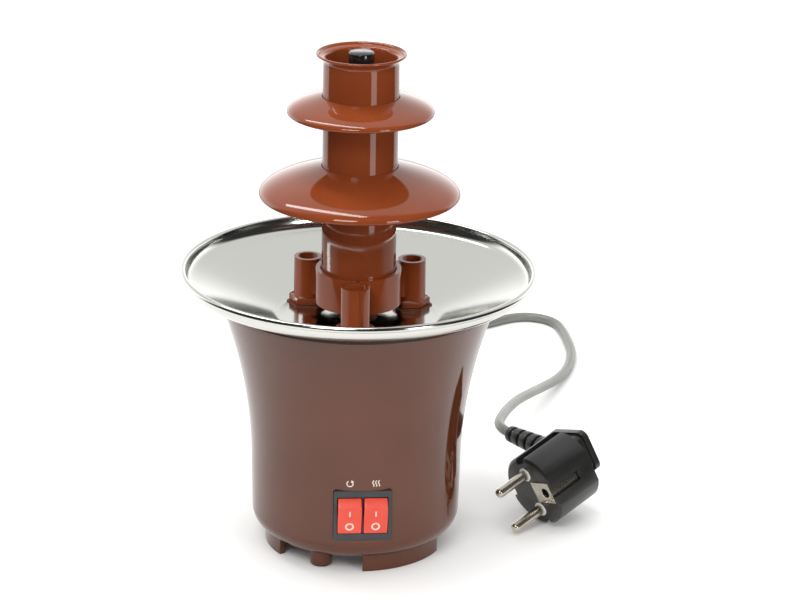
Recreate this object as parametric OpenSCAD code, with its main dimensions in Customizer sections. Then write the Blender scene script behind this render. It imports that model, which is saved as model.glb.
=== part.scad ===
// Table-top chocolate fountain: heated steel bowl on a flared body, with a stacked tower round an auger.
// Units are millimetres. Z is up, the floor is z = 0, the tower's axis is the Z axis, the switches face -Y.
// An angle named turn is measured seen from above, from the front (-Y) towards the right (+X).

/* [Body] */
// Outer radius of the body at its waist
body_r = 49.4; // [48:0.1:52]
// Outer radius just above the rounded bottom edge
body_low_r = 48.9; // [47.5:0.1:49.4]
// Outer radius at the top edge
body_top_r = 64.6; // [62:0.1:68]
// Height where the walls begin to flare
flare_z = 40; // [36:1:48]
// Height of the underside of the rounded bottom
body_base_z = 7; // [5:0.5:9]
// Radius of the rounded bottom edge
bottom_round = 10.2; // [8.5:0.1:11]
// Wall thickness of the moulded body
wall = 2.2; // [1.8:0.1:2.8]
// Height of the seat that carries the motor deck
deck_z = 95; // [93:0.5:97]
// Thickness of the motor deck
deck_t = 3; // [2.5:0.1:4]

/* [Feet and cover] */
// Outer radius of the bottom cover and its feet
foot_r = 42.9; // [42:0.1:44]
// Radial thickness of a foot
foot_wall = 3; // [2:0.1:4]
// Angle that a foot spans
foot_span = 60; // [40:1:70]
// Turn of the middle of the first foot
foot_turn = 31; // [25:1:37]
// Thickness of the bottom cover
cover_t = 2.5; // [2:0.1:3.5]
// Radius of the circle of screw posts
pillar_axis_r = 36.9; // [35.5:0.1:37.5]
// Outer radius of a screw post under the cover
screw_post_r = 5.2; // [4.8:0.1:5.6]
// Outer radius of a deck pillar
pillar_r = 4.5; // [4:0.1:5]
// Radius of the cover screws
cover_screw_r = 1.6; // [1.4:0.05:1.75]

/* [Bowl] */
// Outer radius of the bowl's rim
rim_r = 82.5; // [80:0.5:88]
// Height of the middle of the rolled rim
rim_z = 133.4; // [132.5:0.1:135]
// Radius of the rolled rim bead
bead_r = 1.4; // [1.1:0.1:1.8]
// Thickness of the steel
bowl_t = 0.7; // [0.5:0.05:0.9]
// Thickness of the seal between the body's inner top edge and the bowl
seal_t = 0.3; // [0.2:0.05:0.8]
// Radius of the flat floor
floor_r = 38; // [37:0.5:39]
// Height of the flat floor
floor_z = 112; // [111.5:0.1:112.5]
// How far the steep edge leans out from the cone to the rim
edge_lean = 1.7; // [1.2:0.1:2.2]
// Height where the cone meets the steep edge
cone_z = 128.4; // [127.5:0.1:129.5]
// Radius of the drive opening in the floor
hub_hole_r = 6.5; // [6:0.1:7]

/* [Tower] */
// Outer radius of the tubes
tube_r = 17.2; // [16.9:0.1:17.4]
// Wall of the tubes
tube_wall = 1.3; // [1.1:0.05:1.4]
// Outer radius of the lower dome
low_dome_r = 46.3; // [42:0.1:50]
// Height of the lower dome's widest edge
low_dome_z = 170.6; // [168:0.1:173]
// Outer radius of the upper dome
high_dome_r = 33.7; // [30:0.1:37]
// Height of the upper dome's widest edge
high_dome_z = 209.5; // [207:0.1:211]
// Height of the seam between the lower tier and the upper tier
low_seam_z = 183.8; // [182:0.1:186]
// Height of the seam between the upper tier and the crown
high_seam_z = 216.8; // [216:0.1:218]
// Thickness of the dome shells
dome_t = 1.8; // [1.5:0.1:2]
// Depth of the seat that takes the tube above
seat_d = 2.2; // [1.6:0.1:2.6]
// Outer radius of the crown's funnel lip
crown_lip_r = 21.2; // [20:0.1:22.5]
// Height of the crown's lip
crown_z = 236.2; // [234:0.1:237.5]
// Outer radius of the collar round the tube's foot
collar_r = 19.8; // [19.5:0.1:20]
// Height of the collar's underside
collar_low_z = 118; // [117.5:0.1:119]
// Height of the collar's top
collar_top_z = 134.5; // [133:0.1:136]

/* [Tower posts] */
// Radius of the circle of posts
post_axis_r = 28; // [27.7:0.1:28.3]
// Turn of the front post
post_turn = -6.5; // [-8:0.5:-5]
// Outer radius of a socket
socket_r = 6.5; // [6.2:0.1:6.7]
// Bore radius of a socket
socket_bore_r = 4.8; // [4.6:0.1:5]
// Height of the sockets' tops
socket_top_z = 134.7; // [133:0.1:136]
// Width across the corners of a post's hexagon
post_hex_w = 17.6; // [17:0.1:18]
// Height of a post's hexagon
post_hex_h = 3.4; // [3:0.1:4]
// Thickness of the seal under a post
gasket_t = 0.7; // [0.5:0.1:0.9]
// Length of the pin above its hexagon
pin_h = 11.5; // [11:0.5:13]
// Radius of the studs
stud_r = 2; // [1.8:0.05:2.1]

/* [Auger] */
// Radius of the auger's core
core_r = 5.85; // [5.6:0.05:6.1]
// Radius of the auger's flight
flight_r = 14.9; // [14.2:0.1:15.1]
// Height of the auger's top
auger_top_z = 237.1; // [235:0.1:238]
// Rise of the flight in one turn
pitch = 20; // [18:0.5:24]
// Thickness of the flight
flight_t = 1.8; // [1.5:0.1:2.2]
// How far the flight's top end stops below the auger's top
flight_drop = 4; // [3:0.5:8]
// Turn of the flight's top end
flight_turn = -44; // [-50:1:-40]

/* [Drive] */
// Module of the gear teeth
gear_m = 0.6; // [0.58:0.01:0.62]
// Radius of the drive shaft
shaft_r = 3; // [2.8:0.1:3.1]
// Radius of the motor can
motor_r = 12.5; // [12:0.1:13]
// Length of the motor can
motor_l = 28.5; // [26:0.5:30]
// Depth of the gear case below the deck
case_h = 23; // [23:0.1:24]
// Direction from the drive shaft to the idler gear, from +X towards +Y
idler_dir = 80; // [78:1:82]
// Direction from the idler gear to the motor, from +X towards +Y
rotor_dir = 215; // [213:1:217]

/* [Heater] */
// Radius of the heater plate
plate_r = 36; // [35.8:0.1:36.5]
// Thickness of the heater plate
plate_t = 3; // [2.6:0.1:3.4]
// Middle radius of the heating ring
element_ring_r = 16.4; // [16:0.1:16.6]
// Radius of the heating ring's tube
element_r = 3.2; // [3:0.1:3.4]

/* [Switches] */
// Width of the switch bezel
bezel_w = 26.6; // [26:0.1:28]
// Height of the switch bezel
bezel_h = 24.5; // [24:0.1:25.5]
// Height of the switches' middle
switch_z = 31; // [30:0.5:32]
// How far the bezel's face lies inside the body's front
bezel_inset = 0.4; // [0.2:0.05:0.6]
// Thickness of the bezel
bezel_t = 2; // [1.8:0.1:2.2]
// Width of a rocker at its middle
rocker_w = 11; // [10.6:0.1:11.1]
// Distance between the middles of the rockers
rocker_pitch = 12; // [11.8:0.1:12.1]
// Radius from a rocker's hinge to the ends of its face
rocker_r = 10.6; // [10.4:0.1:10.7]
// Half angle that a rocker's face spans at its hinge
face_half = 40.8; // [38:0.2:42]
// Tilt of a rocker when one end is pressed in
rocker_tilt = 14.5; // [12:0.5:15]

/* [Mains lead] */
// Radius of the cord
cord_r = 2.5; // [2.3:0.1:2.7]
// Height of the cord's outlet
outlet_z = 22; // [21:0.5:24]
// Length of the bend guard at the outlet
guard_l = 27; // [25:0.5:30]
// Outer radius of the plug's drum
plug_r = 18.1; // [17.8:0.1:18.4]
// Depth of the plug behind its face
plug_depth = 33; // [32.5:0.5:34]
// Radius of a plug pin
prong_r = 2.4; // [2.4:0.05:2.45]
// Length of a plug pin
prong_l = 19; // [18.5:0.5:19]
// Distance between the plug pins
prong_pitch = 19; // [18.5:0.1:19.5]
// Depth of the cord's middle behind the plug's face
lead_depth = 29; // [28:0.5:30]
// Distance from the plug's middle to the tip of its bend guard
lead_reach = 46; // [45:0.5:48]

/* [Hidden] */

// Fineness of round shapes
$fn = 96;
// Overrun of cuts past the faces that they leave
over = 0.5;
// Working gap of a press or screwed fit
fit = 0.03;
// Running gap round shafts
run = 0.06;
// Seam gap between mouldings
seam = 0.15;
// Gap of pieces that lift off
loose = 0.3;
// How far a loose pair is fitted into each other
bite = 1;

// Colours
body_col = "#5a2f24";
tower_col = "#8f4424";
steel_col = "#c9c9c6";
dark_col = "#2b2b2d";
rocker_col = "#f0402f";
brass_col = "#b8923f";
cord_col = "#8d8c86";

// Bowl's outline
edge_r = rim_r - bead_r;
cone_r = edge_r - edge_lean;
slope_share = (cone_z - floor_z) / (cone_r - floor_r);
cone_drop = bowl_t * sqrt(1 + pow(slope_share, 2));
function bowl_top(r) = floor_z + max(0, r - floor_r) * slope_share;
function bowl_under(r) = floor_z - bowl_t + max(0, r - floor_r) * slope_share
  - (cone_drop - bowl_t) * min(1, max(0, r - floor_r) / bowl_t);

// Body
ring_out_r = body_top_r - 0.2 * wall;
body_top_z = bowl_under(body_top_r - wall) - seal_t;
function polar(r, turn) = [r * sin(turn), -r * cos(turn)];
function flare_share(z) = pow(max(0, z - flare_z) / (body_top_z - flare_z), 2);
round_mid_r = body_low_r - bottom_round;
round_mid_z = body_base_z + bottom_round;
function outer_r(z) = z >= flare_z ? body_r + (body_top_r - body_r) * flare_share(z)
  : body_low_r + (body_r - body_low_r) * (z - round_mid_z) / (flare_z - round_mid_z);
function inner_r(z) = outer_r(z) - wall;
function round_z(r, rad) = round_mid_z - sqrt(pow(rad, 2) - pow(r - round_mid_r, 2));
cover_z = round_z(foot_r, bottom_round);
cover_top_z = cover_z + cover_t;
shell_open_r = foot_r + seam;
flare_steps = 16;
round_steps = 10;
lip_w = 2.6;
lip_t = 2;
deck_ledge_w = 2.8;
deck_ledge_t = 2.5;
switch_land_w = 3;
switch_land_t = 2.6;
outlet_boss_r = 8;
outlet_boss_t = 1.6;

// Bottom cover
foot_set = 0.2;
pad_t = 0.8;
pad_r = screw_post_r - 0.3 * wall;
pad_step = 1.3;
pad_stem_r = screw_post_r - pad_step;
pad_stem_h = 1.4;
pad_hole_r = pad_stem_r + fit;
head_r = 3.2;
head_h = 2;
head_seat_z = cover_z - pad_t;
cover_boss_h = 4;
pillar_low_z = cover_top_z + cover_boss_h;
cover_screw_l = 20;
cover_rib_set = 5.2;
cover_rib_r = foot_r - cover_rib_set;
cover_rib_t = 1.6;
cover_rib_h = 1.6;
vent_w = 2.4;
vent_l = 22;
vent_pitch = 5.5;
vent_side = 2;

// Motor deck
deck_r = inner_r(deck_z) - loose;
deck_rim_t = 1.6;
deck_rim_h = 3;
wire_hole_r = 5;
wire_hole_at_r = 43;

// Seal under the bowl
ring_skirt_t = 1.2;
ring_skirt_h = 3;

// Posts, studs and heater
post_z = floor_z + gasket_t;
post_pin_z = post_z + post_hex_h;
pin_r = socket_bore_r - loose;
pin_round = 1.2;
gasket_over = 1;
stud_reach = 8;
stud_top_z = post_pin_z + stud_reach;
nut_w = 8;
nut_h = 3.2;
stud_tail = 1.5;
stud_low_z = deck_z - nut_h - stud_tail;
plate_top_z = floor_z - bowl_t;
plate_z = plate_top_z - plate_t;
deck_top_z = deck_z + deck_t;
sleeve_r = 3.4;
element_open = 40;
element_tail = 3;
thermostat_r = 7.2;
thermostat_h = 7;
thermostat_at_r = 28;
tab_w = 4.8;
tab_t = 0.8;
tab_l = 7;
fuse_r = 2;
fuse_l = 12;
fuse_clip_w = 3;
fuse_clip_t = 0.8;
fuse_lead_r = 0.5;
fuse_lead_l = 5;
seal_body_l = 7;
seal_flange_r = 9.4;
seal_flange_t = 1.4;
seal_lip_r = 4.6;
seal_lip_h = 1.6;
plate_hole_r = 8.5;

// Gears
pressure_angle = 20;
out_teeth = 54;
idler_small_teeth = 12;
idler_big_teeth = 50;
rotor_teeth = 10;
addendum_share = 0.86;
dedendum_share = 1.2;
slack = 0.16;
function pitch_r(teeth) = gear_m * teeth / 2;
function tip_r(teeth) = pitch_r(teeth) + gear_m * addendum_share;
idler_gap = pitch_r(out_teeth) + pitch_r(idler_small_teeth);
rotor_gap = pitch_r(idler_big_teeth) + pitch_r(rotor_teeth);
idler_at = idler_gap * [cos(idler_dir), sin(idler_dir)];
rotor_at = idler_at + rotor_gap * [cos(rotor_dir), sin(rotor_dir)];
case_wall = 1.5;
case_gap = 0.7;
case_floor_t = 2;
case_lid_t = 3;
case_z = deck_z - case_h;
case_in_z = case_z + case_floor_t;
case_lid_z = deck_z - case_lid_t;
case_main_r = tip_r(out_teeth) + case_gap;
case_idler_r = tip_r(idler_big_teeth) + case_gap;
case_rotor_r = 4.6;
ear_r = 4;
ear_t = 3;
ear_out = 2.5;
ears = [[0, 190, case_main_r + case_wall + ear_out], [0, -45, case_main_r + case_wall + ear_out],
  [1, idler_dir, case_idler_r + case_wall + ear_out]];
function ear_at(e) = (e[0] == 0 ? [0, 0] : idler_at) + e[2] * [cos(e[1]), sin(e[1])];
case_screw_r = 1.25;
case_head_r = 2.4;
case_head_h = 1.8;
case_screw_l = 10;
bush_r = 5;
bush_flange_r = 6.4;
bush_flange_t = 1.2;
thrust_gap = 0.15;
lower_bush_lift = 0.4;
lower_bush_z = case_in_z + lower_bush_lift;
lower_bush_h = 2.6;
bush_boss_r = bush_r + case_wall;
wheel_gap = 0.6;
wheel_z = lower_bush_z + lower_bush_h + wheel_gap;
wheel_h = 4;
small_z = wheel_z + wheel_h;
out_gap = 1.4;
out_z = small_z + out_gap;
out_h = 5;
small_over = 2.4;
small_h = out_h + small_over;
hub_r = 5;
hub_low_z = small_z + wheel_gap;
hub_top_z = case_lid_z - bush_flange_t - thrust_gap;
idler_pin_r = 1.5;
idler_boss_r = 3;
shaft_low_z = case_in_z + thrust_gap;
shaft_hex_z = 114.5;
shaft_top_z = 124;
hex_flat = 5.2;
hex_play = 0.12;
rotor_shaft_r = 1;
pinion_over = 0.5;
rotor_pinion_z = wheel_z - pinion_over;
rotor_pinion_h = wheel_h + 2 * pinion_over;
rotor_hole_r = tip_r(rotor_teeth) + case_gap;
motor_low_z = case_z - motor_l;
can_t = 0.8;
cup_h = 11;
cap_h = 3;
cap_seat_h = 2;
magnet_t = 1.7;
magnet_span = 130;
magnet_h = 18;
armature_r = 8.9;
armature_h = 17;
commutator_r = 2.6;
commutator_h = 4;
armature_lift = 6;
armature_z = motor_low_z + armature_lift;

// Auger
auger_low_z = 114.8;
flight_lift = 1.6;
flight_low_z = auger_low_z + flight_lift;
flight_top_z = auger_top_z - flight_drop;
flight_steps = 20;
flight_share = 0.75;
auger_chamfer = 0.5;

// Tower pieces
tube_in_r = tube_r - tube_wall;
tube_step = 0.15;
upper_tube_r = tube_r + tube_step;
crown_tube_r = upper_tube_r + tube_step;
collar_wall = 2;
collar_floor_t = 3;
tier_low_z = collar_low_z + collar_floor_t;
web_w = 9;
web_drop = 1.2;
dome_lip = 1;
dome_power = 1.8;
dome_steps = 18;
seat_gap = 0.2;
crown_flare_z = 232;
crown_lip_t = 1.1;

// Switches
bezel_y = -(body_r - bezel_inset);
bezel_back_y = bezel_y + bezel_t;
hinge_depth = 6;
hinge_y = bezel_y + hinge_depth;
rocker_skirt_angle = 70;
rocker_narrow = 0.5;
face_hollow = 0.35;
rocker_gap = 0.2;
switch_wall = 0.6;
switch_in_w = rocker_pitch + rocker_w + 2 * rocker_gap;
switch_body_w = switch_in_w + 2 * switch_wall;
switch_body_h = 2 * (rocker_r + rocker_gap + switch_wall);
switch_depth = 21;
web_t = 0.7;
web_recess = 0.6;
pivot_r = 1;
pivot_l = 0.3;
window_gap = 0.2;
bezel_round = 0.8;

// Mains lead
guard_flange_r = 6.4;
guard_flange_t = 2;
guard_root_r = 4.8;
guard_tip_r = 3.5;
gland_r = 4.4;
gland_lock_r = 5.6;
gland_lock_t = 1.5;
guard_ribs = 5;
guard_rib_gap = 1.4;
outlet_y = outer_r(outlet_z + guard_flange_r);
block_w = 22;
block_d = 9;
block_h = 9;
block_at = [0, 27];
block_pole_pitch = 7;
block_screw_r = 1.6;

// Route of the cord's middle from the bend guard at the body to the bend guard at the plug
cord_route = [
  [0, 75.4, 22], [0, 84, 21.6], [0, 96, 19], [1, 110, 13.5], [2, 124, 7.5], [3, 138, 3.8], [4, 152, 2.6],
  [3, 168, 2.5], [-1, 186, 2.5], [-8, 203, 2.5], [-18, 219, 2.5], [-28, 235, 2.5], [-35, 252, 2.5],
  [-37, 270, 2.5], [-32, 287, 2.5], [-19, 301, 2.5], [0, 307, 2.5], [19, 303, 2.5], [34, 292, 2.5],
  [48, 280, 2.5], [64, 273.5, 2.5], [80, 275, 2.5], [93.5, 281.5, 2.5], [104.5, 288.5, 2.5], [113, 291.4, 2.5],
  [121, 290.4, 2.5], [128, 285.8, 2.5], [132.3, 279, 2.5], [134, 270.5, 2.5], [135, 257, 2.5], [135, 238, 2.5],
  [132.5, 221, 2.6], [127.5, 204, 3.1], [120, 186.5, 4.8], [110.5, 167, 8.4], [101.5, 147, 13], [92, 124.7, 18],
  [84, 102.3, 22], [79.8, 88, 24.2], [77.4, 79, 25.2], [76.6, 72.3, 25.7], [77.7, 65.6, 26], [80.9, 59.4, 26]
];
cord_sides = 10;
cord_rings = 2;

// Plug
plug_at = [85.7, 6.2, 17.7];
plug_tilt = [-134.6, -64.9, 168.3];
lead_turn = 18;
drum_depth = 26;
drum_flat = 16.3;
drum_chamfer = 1.2;
groove_w = 5.6;
groove_d = 3;
clip_slot_w = 5;
clip_slot_d = 2.2;
head_w = 18.5;
head_l = 25;
head_round = 4;
head_set = 5;
rim_plate_t = 3;
rim_plate_w = 21;
rim_plate_l = 27;
collar_out_r = 3.5;
collar_proud = 0.5;
collar_in = 2;
prong_round = 2;
prong_root_r = prong_r - 0.1 * prong_r;
prong_step_z = collar_proud + seam;
plug_guard_root_r = 6;
plug_guard_tip_r = 4;
plug_guard_l = 33;
plug_guard_from = rim_plate_l / 2 / cos(lead_turn) + rim_plate_w / 2 * tan(lead_turn);
plug_guard_ribs = 5;
plug_rib_gap = 1.8;
earth_plate_w = 11;
earth_plate_l = 13;
earth_plate_t = 0.6;
earth_hole_r = 2.5;
earth_hole_at = 10.5;
clip_w = 3.6;
clip_t = 0.9;
clip_l = 17;
socket_deep = 12;

module ring(r_out, r_in, h) {
  difference() {
    cylinder(r = r_out, h = h);
    translate([0, 0, -over]) cylinder(r = r_in, h = h + 2 * over);
  }
}

module at_polar(r, turn, z) {
  p = polar(r, turn);
  translate([p[0], p[1], z]) children();
}

module pan_screw(r, l, big_r, big_h) {
  cylinder(r = r, h = l);
  translate([0, 0, -big_h]) difference() {
    cylinder(r = big_r, h = big_h);
    for (a = [0, 90]) rotate([0, 0, a]) translate([-big_r * 0.6, -big_r * 0.12, -over])
      cube([big_r * 1.2, big_r * 0.24, big_h / 2 + over]);
  }
}

// Body shell: one moulding, open at the top and the bottom
function shell_outer() = concat(
  [for (i = [0:round_steps]) let (
    a0 = acos((shell_open_r - round_mid_r) / bottom_round), a = -a0 + a0 * i / round_steps)
    [round_mid_r + bottom_round * cos(a), round_mid_z + bottom_round * sin(a)]],
  [for (i = [0:flare_steps]) let (z = flare_z + (body_top_z - flare_z) * i / flare_steps) [outer_r(z), z]]);
function shell_inner() = concat(
  [for (i = [flare_steps:-1:0]) let (z = flare_z + (body_top_z - flare_z) * i / flare_steps) [inner_r(z), z]],
  [for (i = [round_steps:-1:0]) let (
    in_round = bottom_round - wall,
    a0 = acos((shell_open_r - round_mid_r) / in_round), a = -a0 + a0 * i / round_steps)
    [round_mid_r + in_round * cos(a), round_mid_z + in_round * sin(a)]]);

module switch_window(grow, y0, y1) {
  translate([-switch_body_w / 2 - grow, y0, switch_z - switch_body_h / 2 - grow])
    cube([switch_body_w + 2 * grow, y1 - y0, switch_body_h + 2 * grow]);
}

module body_shell() {
  land_w = bezel_w + 2 * switch_land_w;
  land_h = bezel_h + 2 * switch_land_w;
  color(body_col) difference() {
    union() {
      rotate_extrude() polygon(concat(shell_outer(), shell_inner()));
      translate([0, 0, cover_top_z]) ring(shell_open_r + lip_t, shell_open_r - lip_w, lip_t);
      translate([0, 0, deck_z - deck_ledge_t])
        ring(inner_r(deck_z) + wall / 2, inner_r(deck_z) - deck_ledge_w, deck_ledge_t);
      intersection() {
        translate([-land_w / 2, bezel_back_y, switch_z - land_h / 2]) cube([land_w, switch_land_t, land_h]);
        cylinder(r = body_low_r - wall / 2, h = body_top_z);
      }
      intersection() {
        translate([0, outlet_y - wall - outlet_boss_t, outlet_z]) rotate([-90, 0, 0])
          cylinder(r = outlet_boss_r, h = wall + outlet_boss_t);
        cylinder(r = body_low_r - wall / 2, h = body_top_z);
      }
    }
    translate([-bezel_w / 2 - window_gap, bezel_y - bezel_inset - over, switch_z - bezel_h / 2 - window_gap])
      cube([bezel_w + 2 * window_gap, bezel_t + bezel_inset + over, bezel_h + 2 * window_gap]);
    switch_window(window_gap, bezel_y, bezel_y + switch_depth);
    translate([0, outlet_y - 2 * outlet_boss_r, outlet_z]) rotate([-90, 0, 0])
      cylinder(r = gland_r + fit, h = 3 * outlet_boss_r);
    for (i = [0:2]) at_polar(pillar_axis_r, foot_turn - 60 + 120 * i, cover_top_z - over)
      cylinder(r = pillar_r + seam, h = lip_t + 2 * over);
  }
}

module foot(mid_turn) {
  half = foot_span / 2;
  intersection() {
    ring(foot_r - foot_set, foot_r - foot_wall, cover_z + over);
    linear_extrude(cover_z + over) polygon([[0, 0], polar(2 * foot_r, mid_turn - half),
      polar(2 * foot_r, mid_turn), polar(2 * foot_r, mid_turn + half)]);
  }
}

module bottom_cover() {
  color(body_col) difference() {
    union() {
      translate([0, 0, cover_z]) cylinder(r = foot_r, h = cover_t);
      for (i = [0:2]) foot(foot_turn + 120 * i);
      for (i = [0:2]) at_polar(pillar_axis_r, foot_turn - 60 + 120 * i, 0) {
        translate([0, 0, pad_t]) cylinder(r = screw_post_r, h = cover_top_z - pad_t);
        translate([0, 0, cover_z]) cylinder(r = pillar_r, h = pillar_low_z - cover_z);
      }
      translate([0, 0, cover_z]) ring(cover_rib_r, cover_rib_r - cover_rib_t, cover_t + cover_rib_h);
    }
    for (i = [0:2]) at_polar(pillar_axis_r, foot_turn - 60 + 120 * i, 0) {
      translate([0, 0, -over]) cylinder(r = pad_hole_r, h = head_seat_z + over);
      cylinder(r = cover_screw_r + seam, h = pillar_low_z + over);
    }
    for (i = [-vent_side:vent_side])
      translate([i * vent_pitch - vent_w / 2, -vent_l - vent_w, cover_z - over])
        cube([vent_w, vent_l, cover_t + 2 * over]);
  }
}

module foot_pads() {
  color(dark_col) for (i = [0:2]) at_polar(pillar_axis_r, foot_turn - 60 + 120 * i, 0) {
    cylinder(r = pad_r, h = pad_t);
    cylinder(r = pad_stem_r, h = pad_t + pad_stem_h);
  }
}

module cover_screws() {
  color(steel_col) for (i = [0:2]) at_polar(pillar_axis_r, foot_turn - 60 + 120 * i, head_seat_z)
    pan_screw(cover_screw_r, cover_screw_l, head_r, head_h);
}

// Motor deck: the plate inside the body, with the three pillars that the cover screws pull on
module motor_deck() {
  color(body_col) difference() {
    union() {
      translate([0, 0, deck_z]) cylinder(r = deck_r, h = deck_t);
      translate([0, 0, deck_z]) ring(deck_r, deck_r - deck_rim_t, deck_t + deck_rim_h);
      for (i = [0:2]) at_polar(pillar_axis_r, foot_turn - 60 + 120 * i, pillar_low_z)
        cylinder(r = pillar_r, h = deck_z + over - pillar_low_z);
      for (e = ears) translate(concat(ear_at(e), deck_z)) cylinder(r = ear_r, h = deck_t + deck_rim_h);
    }
    for (i = [0:2]) at_polar(pillar_axis_r, foot_turn - 60 + 120 * i, pillar_low_z - over)
      cylinder(r = cover_screw_r + fit, h = cover_screw_l);
    for (i = [0:2]) at_polar(post_axis_r, post_turn + 120 * i, deck_z - over)
      cylinder(r = stud_r + seam, h = deck_t + 2 * over);
    for (e = ears) translate(concat(ear_at(e), deck_z - over))
      cylinder(r = case_screw_r + fit, h = deck_t + over + deck_rim_h / 2);
    translate([0, 0, deck_z - over]) cylinder(r = bush_r + fit, h = deck_t + 2 * over);
    at_polar(wire_hole_at_r, foot_turn + 120, deck_z - over) cylinder(r = wire_hole_r, h = deck_t + 2 * over);
  }
}

module bowl_seal_ring() {
  skirt_r = inner_r(body_top_z) - fit;
  skirt_low_r = inner_r(body_top_z - ring_skirt_h) - fit;
  in_r = skirt_r - ring_skirt_t;
  color(dark_col) rotate_extrude() polygon([
    [skirt_low_r - ring_skirt_t, body_top_z - ring_skirt_h], [in_r, bowl_under(in_r)],
    [ring_out_r, bowl_under(ring_out_r)], [ring_out_r, body_top_z], [skirt_r, body_top_z],
    [skirt_low_r, body_top_z - ring_skirt_h]]);
}

module bowl() {
  color(steel_col) difference() {
    rotate_extrude() {
      polygon([
        [0, floor_z - bowl_t], [floor_r, floor_z - bowl_t],
        [floor_r + bowl_t, bowl_under(floor_r + bowl_t)], [cone_r + bowl_t / 2, bowl_under(cone_r + bowl_t / 2)],
        [cone_r + bowl_t, cone_z], [edge_r + bowl_t / 2, rim_z], [edge_r - bowl_t / 2, rim_z],
        [cone_r - bowl_t / 2, cone_z + bowl_t * 1.4],
        [cone_r - bowl_t * 3, bowl_top(cone_r - bowl_t * 3)],
        [floor_r, floor_z], [0, floor_z]]);
      translate([edge_r, rim_z]) circle(r = bead_r, $fn = 48);
    }
    translate([0, 0, floor_z - 2 * bowl_t]) cylinder(r = hub_hole_r, h = 3 * bowl_t);
    for (i = [0:2]) at_polar(post_axis_r, post_turn + 120 * i, floor_z - 2 * bowl_t)
      cylinder(r = stud_r + seam, h = 3 * bowl_t);
  }
}

module tower_post(turn) {
  color(tower_col) at_polar(post_axis_r, turn, 0) difference() {
    union() {
      translate([0, 0, post_z]) rotate([0, 0, turn]) cylinder(d = post_hex_w, h = post_hex_h, $fn = 6);
      translate([0, 0, post_pin_z - over]) cylinder(r = pin_r, h = pin_h + over - pin_round);
      translate([0, 0, post_pin_z + pin_h - pin_round]) cylinder(r1 = pin_r, r2 = pin_r - pin_round, h = pin_round);
    }
    translate([0, 0, post_z - over]) cylinder(r = stud_r + fit, h = stud_top_z - post_z + over);
  }
}

module tower_post_front() { tower_post(post_turn); }
module tower_post_right() { tower_post(post_turn + 120); }
module tower_post_left() { tower_post(post_turn + 240); }

module post_gaskets() {
  color(dark_col) for (i = [0:2]) at_polar(post_axis_r, post_turn + 120 * i, floor_z)
    rotate([0, 0, post_turn + 120 * i]) difference() {
      cylinder(d = post_hex_w + 2 * gasket_over, h = gasket_t, $fn = 6);
      translate([0, 0, -over]) cylinder(r = stud_r + fit, h = gasket_t + 2 * over);
    }
}

module post_studs() {
  color(steel_col) for (i = [0:2]) at_polar(post_axis_r, post_turn + 120 * i, stud_low_z)
    cylinder(r = stud_r, h = stud_top_z - stud_low_z);
}

module post_nuts() {
  color(steel_col) for (i = [0:2]) at_polar(post_axis_r, post_turn + 120 * i, deck_z - nut_h) difference() {
    cylinder(d = nut_w, h = nut_h, $fn = 6);
    translate([0, 0, -over]) cylinder(r = stud_r + fit, h = nut_h + 2 * over);
  }
}

module spacer_sleeves() {
  color(steel_col) for (i = [0:2]) at_polar(post_axis_r, post_turn + 120 * i, deck_top_z)
    ring(sleeve_r, stud_r + seam, plate_z - deck_top_z);
}

module heater_plate() {
  color("#b9bcc0") difference() {
    translate([0, 0, plate_z]) cylinder(r = plate_r, h = plate_t);
    translate([0, 0, plate_z - over]) cylinder(r = plate_hole_r, h = plate_t + 2 * over);
    for (i = [0:2]) at_polar(post_axis_r, post_turn + 120 * i, plate_z - over)
      cylinder(r = stud_r + seam, h = plate_t + 2 * over);
  }
}

module heating_element() {
  mid_z = plate_z - element_r;
  color("#77777a") {
    translate([0, 0, mid_z]) rotate([0, 0, element_open / 2 - 90]) rotate_extrude(angle = 360 - element_open)
      translate([element_ring_r, 0]) circle(r = element_r, $fn = 36);
    for (s = [-1, 1]) at_polar(element_ring_r, s * element_open / 2, mid_z)
      translate([0, 0, -element_r - element_tail]) cylinder(r = element_r / 2, h = element_tail + element_r);
  }
}

module thermostat() {
  turn = post_turn + 60;
  color(dark_col) at_polar(thermostat_at_r, turn, plate_z - thermostat_h) {
    cylinder(r = thermostat_r, h = thermostat_h);
    for (s = [-1, 1]) rotate([0, 0, turn])
      translate([s * thermostat_r / 2 - tab_t / 2, -tab_w / 2, over - tab_l / 2]) cube([tab_t, tab_w, tab_l / 2]);
  }
}

module thermal_fuse() {
  turn = post_turn + 180;
  z = plate_z - fuse_r;
  color("#d8d4c8") at_polar(post_axis_r, turn, z) rotate([0, 0, turn]) {
    translate([-fuse_l / 2, 0, 0]) rotate([0, 90, 0]) cylinder(r = fuse_r, h = fuse_l);
    translate([-fuse_l / 2 - fuse_lead_l, 0, 0]) rotate([0, 90, 0])
      cylinder(r = fuse_lead_r, h = fuse_l + 2 * fuse_lead_l);
    translate([-fuse_clip_w / 2, -fuse_r - fuse_clip_t, -fuse_r - fuse_clip_t])
      cube([fuse_clip_w, 2 * fuse_r + 2 * fuse_clip_t, 2 * fuse_r + fuse_clip_t]);
  }
}

module shaft_seal() {
  color(tower_col) difference() {
    union() {
      translate([0, 0, floor_z - seal_body_l]) cylinder(r = hub_hole_r - fit, h = seal_body_l + over);
      translate([0, 0, floor_z]) cylinder(r = seal_flange_r, h = seal_flange_t);
      translate([0, 0, floor_z]) cylinder(r = seal_lip_r, h = seal_flange_t + seal_lip_h / 2);
    }
    translate([0, 0, floor_z - seal_body_l - over])
      cylinder(r = shaft_r + run, h = seal_body_l + seal_flange_t + seal_lip_h + 2 * over);
  }
}

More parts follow.
